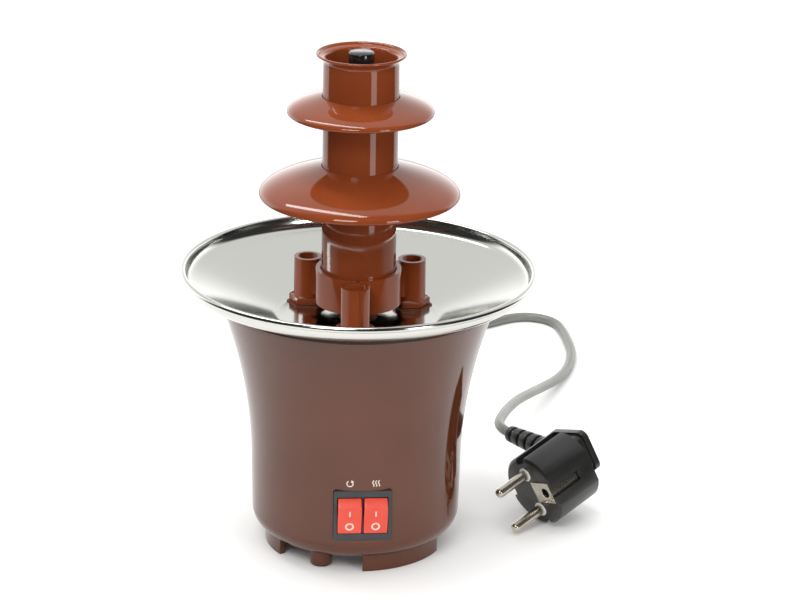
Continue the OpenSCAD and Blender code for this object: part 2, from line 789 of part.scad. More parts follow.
// Gear outline with involute flanks; the first tooth points along +X
function involute(a) = tan(a) * 180 / PI - a;
function tooth_half(teeth, r) = let (
  base = pitch_r(teeth) * cos(pressure_angle), slack_turn = slack / pitch_r(teeth) / 2 * 180 / PI)
  90 / teeth - slack_turn / 2 + involute(pressure_angle) - (r > base ? involute(acos(base / r)) : 0);
function gear_points(teeth) = let (
  base = pitch_r(teeth) * cos(pressure_angle),
  root = pitch_r(teeth) - gear_m * dedendum_share, tip = tip_r(teeth),
  start = max(base, root), radii = [root, start, (start + tip) / 2, tip])
  [for (i = [0:teeth - 1]) for (s = [-1, 1]) for (k = [0:3]) let (
    r = s < 0 ? radii[k] : radii[3 - k], a = 360 / teeth * i + s * tooth_half(teeth, r))
    [r * cos(a), r * sin(a)]];

module gear(teeth, h) { linear_extrude(h) polygon(gear_points(teeth)); }

module drive_shaft() {
  color(steel_col) {
    translate([0, 0, shaft_low_z]) cylinder(r = shaft_r, h = shaft_hex_z - shaft_low_z);
    translate([0, 0, shaft_hex_z - over]) intersection() {
      cylinder(d = hex_flat / cos(30), h = shaft_top_z - shaft_hex_z + over, $fn = 6);
      cylinder(r = shaft_r, h = shaft_top_z - shaft_hex_z + over);
    }
  }
}

module output_gear() {
  color("#e6e2d6") difference() {
    union() {
      translate([0, 0, out_z]) rotate([0, 0, idler_dir]) gear(out_teeth, out_h);
      translate([0, 0, hub_low_z]) cylinder(r = hub_r, h = hub_top_z - hub_low_z);
    }
    translate([0, 0, hub_low_z - over]) cylinder(r = shaft_r + fit, h = hub_top_z - hub_low_z + 2 * over);
  }
}

module idler_gear() {
  color("#e6e2d6") translate(concat(idler_at, 0)) difference() {
    union() {
      translate([0, 0, wheel_z]) rotate([0, 0, rotor_dir]) gear(idler_big_teeth, wheel_h);
      translate([0, 0, small_z - over]) rotate([0, 0, idler_dir + 180 + 180 / idler_small_teeth])
        gear(idler_small_teeth, small_h + over);
    }
    translate([0, 0, wheel_z - over]) cylinder(r = idler_pin_r + run, h = wheel_h + small_h + 2 * over);
  }
}

module idler_pin() {
  color(steel_col) translate(concat(idler_at, case_z + case_floor_t / 2))
    cylinder(r = idler_pin_r, h = case_lid_z + case_lid_t / 2 - case_z - case_floor_t / 2);
}

module rotor_pinion() {
  color(brass_col) translate(concat(rotor_at, rotor_pinion_z)) difference() {
    rotate([0, 0, rotor_dir + 180 + 180 / rotor_teeth]) gear(rotor_teeth, rotor_pinion_h);
    translate([0, 0, -over]) cylinder(r = rotor_shaft_r + fit, h = rotor_pinion_h + 2 * over);
  }
}

module case_outline(grow, z, h) {
  translate([0, 0, z]) cylinder(r = case_main_r + grow, h = h);
  translate(concat(idler_at, z)) cylinder(r = case_idler_r + grow, h = h);
  translate(concat(rotor_at, z)) cylinder(r = case_rotor_r + grow, h = h);
}

module gear_case_tub() {
  color("#e9e6dc") difference() {
    union() {
      difference() {
        union() {
          case_outline(case_wall, case_z, case_lid_z - case_z);
          translate(concat(rotor_at, case_z)) cylinder(r = motor_r + fit + case_wall, h = case_floor_t);
          for (e = ears) translate(concat(ear_at(e), case_lid_z - ear_t)) cylinder(r = ear_r, h = ear_t);
        }
        case_outline(0, case_in_z, case_lid_z - case_in_z + over);
      }
      translate([0, 0, case_z]) cylinder(r = bush_boss_r, h = lower_bush_z + lower_bush_h - case_z);
      translate(concat(idler_at, case_in_z - over)) cylinder(r = idler_boss_r, h = wheel_z - thrust_gap - case_in_z + over);
      translate(concat(rotor_at, case_z - cup_h)) ring(motor_r + fit + case_wall, motor_r + fit, cup_h + over);
    }
    translate([0, 0, lower_bush_z]) cylinder(r = bush_r + fit, h = lower_bush_h + over);
    translate([0, 0, case_in_z]) cylinder(r = shaft_r + run, h = lower_bush_h);
    translate(concat(idler_at, case_z + case_floor_t / 2)) cylinder(r = idler_pin_r + fit, h = wheel_z);
    translate(concat(rotor_at, case_z - over)) cylinder(r = rotor_hole_r, h = case_floor_t + 2 * over);
    for (e = ears) translate(concat(ear_at(e), case_lid_z - ear_t - over))
      cylinder(r = case_screw_r + seam, h = ear_t + 2 * over);
  }
}

module gear_case_lid() {
  color("#e9e6dc") difference() {
    union() {
      case_outline(case_wall, case_lid_z, case_lid_t);
      for (e = ears) translate(concat(ear_at(e), case_lid_z)) cylinder(r = ear_r, h = case_lid_t);
      translate(concat(idler_at, small_z + small_h + thrust_gap))
        cylinder(r = idler_boss_r, h = case_lid_z - small_z - small_h - thrust_gap + over);
    }
    translate([0, 0, case_lid_z - over]) cylinder(r = bush_r + fit, h = case_lid_t + 2 * over);
    translate(concat(idler_at, small_z)) cylinder(r = idler_pin_r + fit, h = case_lid_z + case_lid_t / 2 - small_z);
    for (e = ears) translate(concat(ear_at(e), case_lid_z - over))
      cylinder(r = case_screw_r + seam, h = case_lid_t + 2 * over);
  }
}

module case_screws() {
  color(steel_col) for (e = ears) translate(concat(ear_at(e), case_lid_z - ear_t))
    pan_screw(case_screw_r, case_screw_l - 3 * over, case_head_r, case_head_h);
}

module upper_bush() {
  color(brass_col) difference() {
    union() {
      translate([0, 0, case_lid_z - bush_flange_t]) cylinder(r = bush_flange_r, h = bush_flange_t);
      translate([0, 0, case_lid_z - bush_flange_t]) cylinder(r = bush_r, h = case_lid_t + deck_t + bush_flange_t);
    }
    translate([0, 0, case_lid_z - bush_flange_t - over])
      cylinder(r = shaft_r + run, h = case_lid_t + deck_t + bush_flange_t + 2 * over);
  }
}

module lower_bush() {
  color(brass_col) translate([0, 0, lower_bush_z]) ring(bush_r, shaft_r + run, lower_bush_h);
}

module motor_can() {
  color(steel_col) translate(concat(rotor_at, motor_low_z)) difference() {
    cylinder(r = motor_r, h = motor_l);
    translate([0, 0, -over]) cylinder(r = motor_r - can_t, h = motor_l - can_t + over);
    cylinder(r = rotor_shaft_r + run, h = motor_l + over);
  }
}

module motor_end_cap() {
  color(dark_col) translate(concat(rotor_at, motor_low_z - cap_h)) difference() {
    union() {
      cylinder(r = motor_r, h = cap_h);
      cylinder(r = motor_r - can_t - fit, h = cap_h + cap_seat_h);
    }
    translate([0, 0, cap_h / 2]) cylinder(r = rotor_shaft_r + run, h = cap_h + cap_seat_h);
  }
}

module motor_magnets() {
  out_r = motor_r - can_t - fit;
  z = armature_z + (armature_h - magnet_h) / 2;
  color("#4a4a4c") for (s = [0, 180]) translate(concat(rotor_at, z)) rotate([0, 0, s - magnet_span / 2])
    rotate_extrude(angle = magnet_span) translate([out_r - magnet_t, 0]) square([magnet_t, magnet_h]);
}

module motor_rotor() {
  low_z = motor_low_z - cap_h / 2 + thrust_gap;
  color("#8a5a34") translate(concat(rotor_at, 0)) {
    translate([0, 0, low_z]) cylinder(r = rotor_shaft_r, h = rotor_pinion_z + rotor_pinion_h - low_z);
    translate([0, 0, armature_z - commutator_h / 2]) cylinder(r = commutator_r, h = commutator_h);
    translate([0, 0, armature_z]) difference() {
      cylinder(r = armature_r, h = armature_h);
      for (a = [0:72:288]) rotate([0, 0, a]) translate([armature_r * 0.6, -rotor_shaft_r, -over])
        cube([armature_r, 2 * rotor_shaft_r, armature_h + 2 * over]);
    }
  }
}

// Auger: a core with a left-handed flight, swept as one closed strip of four-sided rings
module auger_flight() {
  rise = flight_top_z - flight_low_z;
  count = ceil(rise / pitch * flight_steps);
  in_r = core_r * flight_share;
  rings = [for (i = [0:count]) let (
    t = i / count, z = flight_top_z - rise * t, turn = flight_turn + 360 * rise * t / pitch,
    p = polar(1, turn))
    [[in_r * p[0], in_r * p[1], z - flight_t], [flight_r * p[0], flight_r * p[1], z - flight_t * flight_share],
      [flight_r * p[0], flight_r * p[1], z], [in_r * p[0], in_r * p[1], z]]];
  pts = [for (r = rings) for (q = r) q];
  sides = [for (i = [0:count - 1]) for (k = [0:3]) let (
    a = 4 * i + k, b = 4 * i + (k + 1) % 4, c = a + 4, d = b + 4) for (f = [[a, b, c], [b, d, c]]) f];
  ends = [[0, 2, 1], [0, 3, 2], [4 * count, 4 * count + 1, 4 * count + 2], [4 * count, 4 * count + 2, 4 * count + 3]];
  polyhedron(points = pts, faces = concat(sides, ends));
}

module auger() {
  color(dark_col) difference() {
    union() {
      translate([0, 0, auger_low_z]) cylinder(r = core_r, h = auger_top_z - auger_chamfer - auger_low_z);
      translate([0, 0, auger_top_z - auger_chamfer])
        cylinder(r1 = core_r, r2 = core_r - auger_chamfer, h = auger_chamfer);
      auger_flight();
    }
    translate([0, 0, auger_low_z - over])
      cylinder(d = (hex_flat + 2 * hex_play) / cos(30), h = shaft_top_z - auger_low_z + over, $fn = 6);
  }
}

// Tower base: the collar and its three sockets
module tower_base() {
  color(tower_col) difference() {
    union() {
      translate([0, 0, collar_low_z]) cylinder(r = collar_r, h = collar_top_z - collar_low_z);
      for (i = [0:2]) rotate([0, 0, post_turn + 120 * i]) {
        translate([-web_w / 2, -post_axis_r, collar_low_z])
          cube([web_w, post_axis_r - collar_r + collar_wall, collar_top_z - web_drop - collar_low_z]);
        translate([0, -post_axis_r, post_pin_z]) cylinder(r = socket_r, h = socket_top_z - post_pin_z);
      }
    }
    translate([0, 0, tier_low_z]) cylinder(r = collar_r - collar_wall, h = collar_top_z);
    translate([0, 0, collar_low_z - over]) cylinder(r = tube_in_r, h = collar_floor_t + 2 * over);
    for (i = [0:2]) at_polar(post_axis_r, post_turn + 120 * i, post_pin_z - over)
      cylinder(r = socket_bore_r, h = socket_top_z - post_pin_z + 2 * over);
  }
}

// Dome: share 0 is at the seat, share 1 at the widest edge
function dome_z(share, edge_z, top_z) = edge_z + dome_lip + (top_z - edge_z - dome_lip) * pow(1 - share, 1 / dome_power);
function dome_side(edge_r, edge_z, seat_r, top_z, drop) = [for (i = [0:dome_steps]) let (
  share = sin(90 * i / dome_steps)) [seat_r + (edge_r - dome_lip - seat_r) * share,
    dome_z(share, edge_z, top_z) - drop]];

module tier(low_z, tube_out_r, edge_r, edge_z, top_z, next_r) {
  seat_r = next_r + seat_gap;
  top_side = dome_side(edge_r, edge_z, seat_r, top_z, 0);
  under_side = dome_side(edge_r, edge_z, seat_r, top_z, dome_t);
  last_side = [for (i = [dome_steps - 1:-1:1]) under_side[i]];
  lip = [for (i = [1:5]) let (a = 90 - 180 * i / 6)
    [edge_r - dome_lip + dome_lip * cos(a), edge_z + dome_lip * sin(a)]];
  color(tower_col) difference() {
    union() {
      rotate_extrude() polygon(concat([[tube_in_r, top_z - seat_d - dome_t], [tube_in_r, top_z]], top_side, lip,
        [[edge_r - 2 * dome_lip, edge_z - dome_lip / 2]], last_side,
        [[tube_out_r, top_z - seat_d - 2 * dome_t]]));
      translate([0, 0, low_z]) cylinder(r = tube_out_r, h = top_z - seat_d - low_z);
    }
    translate([0, 0, low_z - over]) cylinder(r = tube_in_r, h = top_z - low_z + 2 * over);
    translate([0, 0, top_z - seat_d]) cylinder(r = seat_r, h = seat_d + over);
  }
}

module lower_tier() { tier(tier_low_z, tube_r, low_dome_r, low_dome_z, low_seam_z, upper_tube_r); }
module upper_tier() {
  tier(low_seam_z - seat_d, upper_tube_r, high_dome_r, high_dome_z, high_seam_z, crown_tube_r);
}

module crown() {
  low_z = high_seam_z - seat_d;
  lip_mid_r = crown_lip_r - crown_lip_t / 2;
  color(tower_col) rotate_extrude() {
    polygon([
      [tube_in_r, low_z], [crown_tube_r, low_z], [crown_tube_r, high_seam_z + seat_d],
      [tube_r, crown_flare_z - seat_d], [tube_r + crown_lip_t / 3, crown_flare_z], [tube_r + crown_lip_t, crown_flare_z + crown_lip_t],
      [lip_mid_r, crown_z - crown_lip_t / 2], [lip_mid_r, crown_z + crown_lip_t / 2],
      [tube_in_r + crown_lip_t, crown_z - crown_lip_t], [tube_in_r, crown_z - 2 * crown_lip_t]]);
    translate([lip_mid_r, crown_z]) circle(r = crown_lip_t / 2, $fn = 24);
  }
}

// Switches
module switch_frame() {
  half_w = rocker_pitch / 2 + rocker_w / 2 + rocker_gap;
  color(dark_col) difference() {
    union() {
      difference() {
        union() {
          translate([0, bezel_back_y, switch_z]) rotate([90, 0, 0]) linear_extrude(bezel_t)
            rounded_outline(bezel_w, bezel_h, bezel_round);
          translate([-switch_body_w / 2, bezel_y + bezel_t / 2, switch_z - switch_body_h / 2])
            cube([switch_body_w, switch_depth - bezel_t / 2, switch_body_h]);
        }
        translate([-half_w, hinge_y, switch_z]) rotate([0, 90, 0])
          cylinder(r = rocker_r + rocker_gap, h = 2 * half_w);
      }
      translate([-web_t / 2, bezel_y + web_recess, switch_z - switch_body_h / 2 + switch_wall / 2])
        cube([web_t, switch_depth - web_recess - switch_wall, switch_body_h - switch_wall]);
    }
    translate([-half_w - pivot_l - run, hinge_y, switch_z]) rotate([0, 90, 0])
      cylinder(r = pivot_r + run, h = 2 * half_w + 2 * pivot_l + 2 * run);
  }
}

module rounded_outline(w, h, r) {
  for (x = [-1, 1]) for (y = [-1, 1]) translate([x * (w / 2 - r), y * (h / 2 - r)]) circle(r = r, $fn = 32);
  square([w - 2 * r, h], center = true);
  square([w, h - 2 * r], center = true);
}

module rocker(x) {
  arc_steps = 6;
  face_steps = 6;
  edge = [rocker_r * cos(face_half), rocker_r * sin(face_half)];
  face = [for (i = [1:face_steps - 1]) let (s = 1 - 2 * i / face_steps)
    [edge[0] - face_hollow * (1 - s * s), edge[1] * s]];
  upper = [for (i = [0:arc_steps]) let (a = rocker_skirt_angle + (face_half - rocker_skirt_angle) * i / arc_steps)
    [rocker_r * cos(a), rocker_r * sin(a)]];
  lower = [for (i = [arc_steps:-1:0]) [upper[i][0], -upper[i][1]]];
  heel = [[-2 * pivot_r, -2 * pivot_r], [-2 * pivot_r, 2 * pivot_r]];
  side = concat(upper, face, lower, heel);
  bulge = [for (i = [-face_steps:face_steps]) let (s = i / face_steps)
    [rocker_w / 2 - rocker_narrow / 2 * s * s, rocker_r * s]];
  front = concat(bulge, [for (i = [2 * face_steps:-1:0]) [-bulge[i][0], bulge[i][1]]]);
  color(rocker_col) translate([x, hinge_y, switch_z]) rotate([rocker_tilt, 0, 0]) mirror([0, 1, 0]) {
    intersection() {
      translate([-rocker_w / 2, 0, 0]) rotate([90, 0, 90]) linear_extrude(rocker_w) polygon(side);
      translate([0, -rocker_r, 0]) rotate([90, 0, 0]) mirror([0, 0, 1]) linear_extrude(3 * rocker_r) polygon(front);
    }
    translate([-rocker_w / 2 - pivot_l, 0, 0]) rotate([0, 90, 0]) cylinder(r = pivot_r, h = rocker_w + 2 * pivot_l, $fn = 48);
  }
}

module motor_rocker() { rocker(-rocker_pitch / 2); }
module heat_rocker() { rocker(rocker_pitch / 2); }

module switch_tabs() {
  color(brass_col) for (x = [-1, 1]) for (z = [-1, 1])
    translate([x * rocker_pitch / 2 - tab_w / 2, bezel_y + switch_depth, switch_z + z * tab_w * 1.2 - tab_t / 2])
      cube([tab_w, tab_l, tab_t]);
}

// Mains lead
module terminal_block() {
  color("#e8e4d4") translate([block_at[0], block_at[1], cover_top_z]) difference() {
    translate([-block_w / 2, -block_d / 2, 0]) cube([block_w, block_d, block_h]);
    for (i = [-1:1]) {
      translate([i * block_pole_pitch, -block_d / 2 - over, block_h / 3]) rotate([-90, 0, 0])
        cylinder(r = block_screw_r * 0.9, h = block_d / 2);
      translate([i * block_pole_pitch, 0, block_h - 2 * block_screw_r])
        cylinder(r = block_screw_r + fit, h = 2 * block_screw_r + over);
    }
  }
}

module terminal_screws() {
  color(brass_col) for (i = [-1:1])
    translate([block_at[0] + i * block_pole_pitch, block_at[1], cover_top_z + block_h - 2 * block_screw_r])
      cylinder(r = block_screw_r, h = 1.5 * block_screw_r);
}

module cord_tail() {
  tail_y = block_at[1] + block_d / 2;
  gland_y = outlet_y - wall - outlet_boss_t - gland_lock_t;
  tail_z = cover_top_z + block_h / 2;
  color(cord_col) {
    translate([0, gland_y - cord_r, outlet_z]) rotate([-90, 0, 0]) cylinder(r = cord_r, h = cord_r + bite);
    translate([0, tail_y, tail_z]) rotate([-90, 0, 0]) cylinder(r = cord_r, h = gland_y - tail_y - cord_r);
    translate([0, gland_y - cord_r, tail_z]) cylinder(r = cord_r, h = outlet_z - tail_z);
    for (z = [tail_z, outlet_z]) translate([0, gland_y - cord_r, z]) sphere(r = cord_r + fit, $fn = 48);
  }
}

// Tapered bend guard along +Z, with rings cut into it
module bend_guard(root_r, tip_r, length, ribs, gap) {
  step = (length - gap) / (ribs + 0.5);
  difference() {
    cylinder(r1 = root_r, r2 = tip_r, h = length);
    for (i = [1:ribs]) let (z = step * i, r = root_r + (tip_r - root_r) * z / length)
      translate([0, 0, z]) ring(root_r + over, r - (r - cord_r) * 0.45, gap);
  }
}

module cord_gland() {
  color(dark_col) difference() {
    translate([0, outlet_y, outlet_z]) rotate([-90, 0, 0]) {
      cylinder(r = guard_flange_r, h = guard_flange_t);
      translate([0, 0, -wall - outlet_boss_t - over]) cylinder(r = gland_r, h = wall + outlet_boss_t + guard_flange_t);
      translate([0, 0, -wall - outlet_boss_t - gland_lock_t]) cylinder(r = gland_lock_r, h = gland_lock_t);
      translate([0, 0, guard_flange_t - over])
        bend_guard(guard_root_r, guard_tip_r, guard_l - guard_flange_t + over, guard_ribs, guard_rib_gap);
    }
    translate([0, outlet_y - wall - outlet_boss_t - gland_lock_t - over, outlet_z]) rotate([-90, 0, 0])
      cylinder(r = cord_r + fit, h = bite + over);
    translate([0, outlet_y + guard_l - bite, outlet_z]) rotate([-90, 0, 0]) cylinder(r = cord_r + fit, h = bite + over);
  }
}

// Smooth curve through the route's points
function curve(a, b, c, d, t) = 0.5 * (2 * b + (c - a) * t + (2 * a - 5 * b + 4 * c - d) * t * t
  + (3 * b - a - 3 * c + d) * t * t * t);
function curve_points(r, n) = let (last = len(r) - 1) concat(
  [for (i = [0:last - 1]) for (j = [0:n - 1])
    curve(i == 0 ? 2 * r[0] - r[1] : r[i - 1], r[i], r[i + 1], i == last - 1 ? 2 * r[last] - r[last - 1] : r[i + 2], j / n)],
  [r[last]]);
function unit(v) = v / norm(v);

module tube_along(path, r, sides) {
  last = len(path) - 1;
  rings = [for (i = [0:last]) let (
    way = unit(path[min(last, i + 1)] - path[max(0, i - 1)]), side = unit(cross(way, [0, 0, 1])), top = cross(side, way))
    [for (k = [0:sides - 1]) path[i] + r * (side * cos(360 * k / sides) + top * sin(360 * k / sides))]];
  faces = [for (i = [0:last - 1]) for (k = [0:sides - 1]) let (
    a = i * sides + k, b = i * sides + (k + 1) % sides) for (f = [[a, b, b + sides], [a, b + sides, a + sides]]) f];
  polyhedron(points = [for (g = rings) for (q = g) q],
    faces = concat(faces, [[for (k = [sides - 1:-1:0]) k], [for (k = [0:sides - 1]) last * sides + k]]));
}

module power_cord() { color(cord_col) tube_along(curve_points(cord_route, cord_rings), cord_r, cord_sides); }

// Plug: face at z = 0, pins along +Z and one beside the other along X
module in_plug() { translate(plug_at) rotate(plug_tilt) children(); }

module plug_body() {
  color(dark_col) in_plug() difference() {
    union() {
      intersection() {
        union() {
          translate([0, 0, -drum_depth - over]) cylinder(r = plug_r, h = drum_depth + over - drum_chamfer);
          translate([0, 0, -drum_chamfer]) cylinder(r1 = plug_r, r2 = plug_r - drum_chamfer, h = drum_chamfer);
        }
        translate([-plug_r, -drum_flat, -plug_depth]) cube([2 * plug_r, 2 * drum_flat, plug_depth]);
      }
      translate([head_set, 0, -plug_depth]) {
        linear_extrude(plug_depth - drum_depth + over) rounded_outline(head_w, head_l, head_round);
        linear_extrude(rim_plate_t) rounded_outline(rim_plate_w, rim_plate_l, head_round);
      }
    }
    for (s = [-1, 1]) {
      translate([s * (plug_r - groove_d / 2) - groove_d / 2 - (s < 0 ? over : 0), -groove_w / 2, -drum_depth])
        cube([groove_d + over, groove_w, drum_depth + over]);
      translate([-clip_slot_w / 2, s * (drum_flat - clip_slot_d / 2) - clip_slot_d / 2 - (s < 0 ? over : 0), -clip_l - over])
        cube([clip_slot_w, clip_slot_d + over, clip_l + 2 * over]);
      translate([s * prong_pitch / 2, 0, -collar_in]) cylinder(r = collar_out_r + fit, h = collar_in + over);
      translate([s * prong_pitch / 2, 0, -socket_deep]) cylinder(r = prong_root_r + fit, h = socket_deep + over);
    }
    translate([0, -earth_hole_at, -socket_deep]) cylinder(r = earth_hole_r, h = socket_deep + over);
    translate([0, 0, -lead_depth]) rotate([0, 0, -lead_turn]) rotate([-90, 0, 0]) {
      translate([0, 0, lead_reach - plug_guard_l]) cylinder(r = plug_guard_root_r - bite, h = plug_guard_l);
      translate([0, 0, plug_guard_from]) cylinder(r = plug_guard_root_r + seam, h = plug_guard_l);
    }
  }
}

module plug_bend_guard() {
  color(dark_col) in_plug() translate([0, 0, -lead_depth]) rotate([0, 0, -lead_turn]) rotate([-90, 0, 0])
    difference() {
      union() {
        translate([0, 0, lead_reach - plug_guard_l]) cylinder(r = plug_guard_root_r - bite - fit, h = plug_guard_l / 3);
        intersection() {
          translate([0, 0, lead_reach - plug_guard_l])
            bend_guard(plug_guard_root_r, plug_guard_tip_r, plug_guard_l, plug_guard_ribs, plug_rib_gap);
          translate([-plug_r, -plug_r, plug_guard_from])
            cube([2 * plug_r, 2 * plug_r, lead_reach]);
        }
      }
      translate([0, 0, lead_reach - bite]) cylinder(r = cord_r + fit, h = 2 * bite);
    }
}

module plug_pins() {
  color(steel_col) in_plug() for (s = [-1, 1]) translate([s * prong_pitch / 2, 0, 0]) {
    translate([0, 0, -socket_deep]) cylinder(r = prong_root_r, h = socket_deep + prong_step_z + over);
    translate([0, 0, prong_step_z]) cylinder(r = prong_r, h = prong_l - prong_round - prong_step_z);
    translate([0, 0, prong_l - prong_round]) cylinder(r1 = prong_r, r2 = prong_r - prong_round * 0.6, h = prong_round);
  }
}

module plug_pin_collars() {
  color("#f1efea") in_plug() for (s = [-1, 1]) translate([s * prong_pitch / 2, 0, -collar_in])
    ring(collar_out_r, prong_root_r + fit, collar_in + collar_proud);
}

module plug_earth_contacts() {
  color(steel_col) in_plug() {
    difference() {
      translate([-earth_plate_w / 2, -drum_flat + clip_slot_d - clip_t, 0]) cube([earth_plate_w, earth_plate_l, earth_plate_t]);
      translate([0, -earth_hole_at, -over]) cylinder(r = earth_hole_r, h = earth_plate_t + 2 * over);
    }
    translate([-clip_w / 2, -drum_flat + clip_slot_d - clip_t, -clip_l]) cube([clip_w, clip_t, clip_l + earth_plate_t]);
    translate([-clip_w / 2, drum_flat - clip_slot_d, -clip_l]) cube([clip_w, clip_t, clip_l - drum_chamfer]);
  }
}

body_shell();
bottom_cover();
foot_pads();
cover_screws();
motor_deck();
bowl_seal_ring();
bowl();
tower_post_front();
tower_post_right();
tower_post_left();
post_gaskets();
post_studs();
post_nuts();
spacer_sleeves();
heater_plate();
heating_element();
thermostat();
thermal_fuse();
shaft_seal();
drive_shaft();
output_gear();
idler_gear();
idler_pin();
rotor_pinion();
gear_case_tub();
gear_case_lid();
case_screws();
upper_bush();
lower_bush();
motor_can();
motor_end_cap();
motor_magnets();
motor_rotor();
auger();
tower_base();
lower_tier();
upper_tier();
crown();
switch_frame();
motor_rocker();
heat_rocker();
switch_tabs();
terminal_block();
terminal_screws();
cord_tail();
cord_gland();
power_cord();
plug_body();
plug_bend_guard();
plug_pins();
plug_pin_collars();
plug_earth_contacts();
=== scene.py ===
# %% [markdown]
# A table-top chocolate fountain. A glossy brown housing carries a shallow steel bowl, and a tower of three
# lift-off tiers stands round an auger that lifts the chocolate. All lengths below are millimetres on the
# real object, so that a reader can check each against a ruler, and `MM` turns them into Blender's metres.
# Only Blender's own tolerances, the camera's far limit and the points of the lead's curve are in metres.
# The frame holds the solids, which give every piece its place. This script only dresses them.

# %% Frame
from math import cos, pi, radians, sin, sqrt, tan

import bmesh
import bpy
from mathutils import Euler, Matrix, Quaternion, Vector


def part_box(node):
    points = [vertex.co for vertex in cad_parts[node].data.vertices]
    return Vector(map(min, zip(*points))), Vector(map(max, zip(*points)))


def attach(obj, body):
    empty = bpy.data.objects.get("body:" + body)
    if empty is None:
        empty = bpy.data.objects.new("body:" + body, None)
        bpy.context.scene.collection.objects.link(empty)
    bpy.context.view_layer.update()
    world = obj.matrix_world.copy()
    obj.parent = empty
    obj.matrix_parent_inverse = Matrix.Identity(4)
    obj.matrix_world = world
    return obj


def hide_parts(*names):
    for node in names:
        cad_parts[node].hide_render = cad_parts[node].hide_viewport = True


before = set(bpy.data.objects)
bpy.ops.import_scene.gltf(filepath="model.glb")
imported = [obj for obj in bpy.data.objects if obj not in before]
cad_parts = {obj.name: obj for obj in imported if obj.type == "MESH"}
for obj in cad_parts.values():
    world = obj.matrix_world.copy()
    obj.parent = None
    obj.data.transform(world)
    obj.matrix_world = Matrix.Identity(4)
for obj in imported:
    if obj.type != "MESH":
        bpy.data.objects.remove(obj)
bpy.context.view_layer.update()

# %% [markdown]
# The camera stands where the photographer's stood: about 1.3 m in front, a little to the left and looking
# down by 20 degrees. Its place and turn were solved from points of known height and radius, such as the rims
# of the bowl and the domes. The three angles are its tilt up from looking straight down, a slight lean and
# its turn to the right. A long lens keeps the sides nearly parallel, as in most product photographs.

# %% Camera
MM = 0.001


def metres(*point):
    return Vector([v * MM for v in point])


camera = bpy.data.objects.new("camera", bpy.data.cameras.new("camera"))
bpy.context.collection.objects.link(camera)
camera.data.lens = 136.34
camera.data.sensor_width = 36
camera.data.clip_end = 20
camera.location = metres(-92.24, -1319.04, 592.33)
camera.rotation_euler = [radians(a) for a in (70.291, -1.018, -4.476)]
bpy.context.scene.camera = camera
bpy.context.scene.view_settings.view_transform = "Standard"
print("camera height in mm:", round(camera.location.z / MM, 1))

# %% [markdown]
# A mains lead is a round PVC sheath, 5 mm thick, that keeps a little of the curl it was packed with. It
# drops from its guard at the back to the table in a few diameters, swings round in one open bend and climbs
# to the plug. The points are the ones the solid follows. A smooth curve is laid through them, and Blender's
# round bevel gives the curve its thickness, so the sheath stays round in every bend. The bevel is 1 and each
# point's radius 2.5 mm, because Blender adds the points' radius to the curve's box.

# %% Route of the lead
ROUTE = [
    (0, 75.4, 22), (0, 84, 21.6), (0, 96, 19), (1, 110, 13.5), (2, 124, 7.5), (3, 138, 3.8), (4, 152, 2.6),
    (3, 168, 2.5), (-1, 186, 2.5), (-8, 203, 2.5), (-18, 219, 2.5), (-28, 235, 2.5), (-35, 252, 2.5),
    (-37, 270, 2.5), (-32, 287, 2.5), (-19, 301, 2.5), (0, 307, 2.5), (19, 303, 2.5), (34, 292, 2.5),
    (48, 280, 2.5), (64, 273.5, 2.5), (80, 275, 2.5), (93.5, 281.5, 2.5), (104.5, 288.5, 2.5),
    (113, 291.4, 2.5), (121, 290.4, 2.5), (128, 285.8, 2.5), (132.3, 279, 2.5), (134, 270.5, 2.5),
    (135, 257, 2.5), (135, 238, 2.5), (132.5, 221, 2.6), (127.5, 204, 3.1), (120, 186.5, 4.8),
    (110.5, 167, 8.4), (101.5, 147, 13), (92, 124.7, 18), (84, 102.3, 22), (79.8, 88, 24.2), (77.4, 79, 25.2),
    (76.6, 72.3, 25.7), (77.7, 65.6, 26), (80.9, 59.4, 26)]


def smooth_line(points, steps):
    """Points of a curve that runs smoothly through every given point."""
    p = [Vector(q) for q in points]
    p = [2 * p[0] - p[1]] + p + [2 * p[-1] - p[-2]]
    line = []
    for a, b, c, d in zip(p, p[1:], p[2:], p[3:]):
        for k in range(steps):
            t = k / steps
            line.append(0.5 * (2 * b + (c - a) * t + (2 * a - 5 * b + 4 * c - d) * t * t
                               + (3 * b - a - 3 * c + d) * t ** 3))
    return line + [p[-2]]


lead_line = [metres(*q) for q in smooth_line(ROUTE, 6)]
lead_length = sum((b - a).length for a, b in zip(lead_line, lead_line[1:]))
print("lead length in mm:", round(lead_length / MM, 1), "points:", len(lead_line))

# %% [markdown]
# The curve becomes the sheath itself. It rides on the base, because the lead lies still while the pieces of
# the tower are lifted, and it takes the place of the coarser solid.

# %% The lead
LEAD_R = 2.5
lead_curve = bpy.data.curves.new("mains_lead", "CURVE")
lead_curve.dimensions = "3D"
lead_curve.bevel_depth = 1
lead_curve.bevel_resolution = 6
lead_curve.use_fill_caps = True
spline = lead_curve.splines.new("POLY")
spline.points.add(len(lead_line) - 1)
for point, place in zip(spline.points, lead_line):
    point.co, point.radius = (*place, 1), LEAD_R * MM
spline.use_smooth = True
mains_lead = bpy.data.objects.new("mains_lead", lead_curve)
bpy.context.collection.objects.link(mains_lead)
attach(mains_lead, "base")
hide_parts("power_cord")
print("lead thickness in mm:", 2 * LEAD_R)

# %% [markdown]
# A few small tools make most of the pieces. `piece` makes an object of points and faces. `lathe` turns a
# half outline round the tower's axis, which is how a spun bowl and a moulded tube are made too. `rounded`
# puts a real radius on an outline's corners, because no moulded edge is sharp, and that radius is what
# catches the light. `smooth` shades an object smooth but for its sharp edges, and `keep` fixes what the
# modifiers made.

# %% Tools for shapes


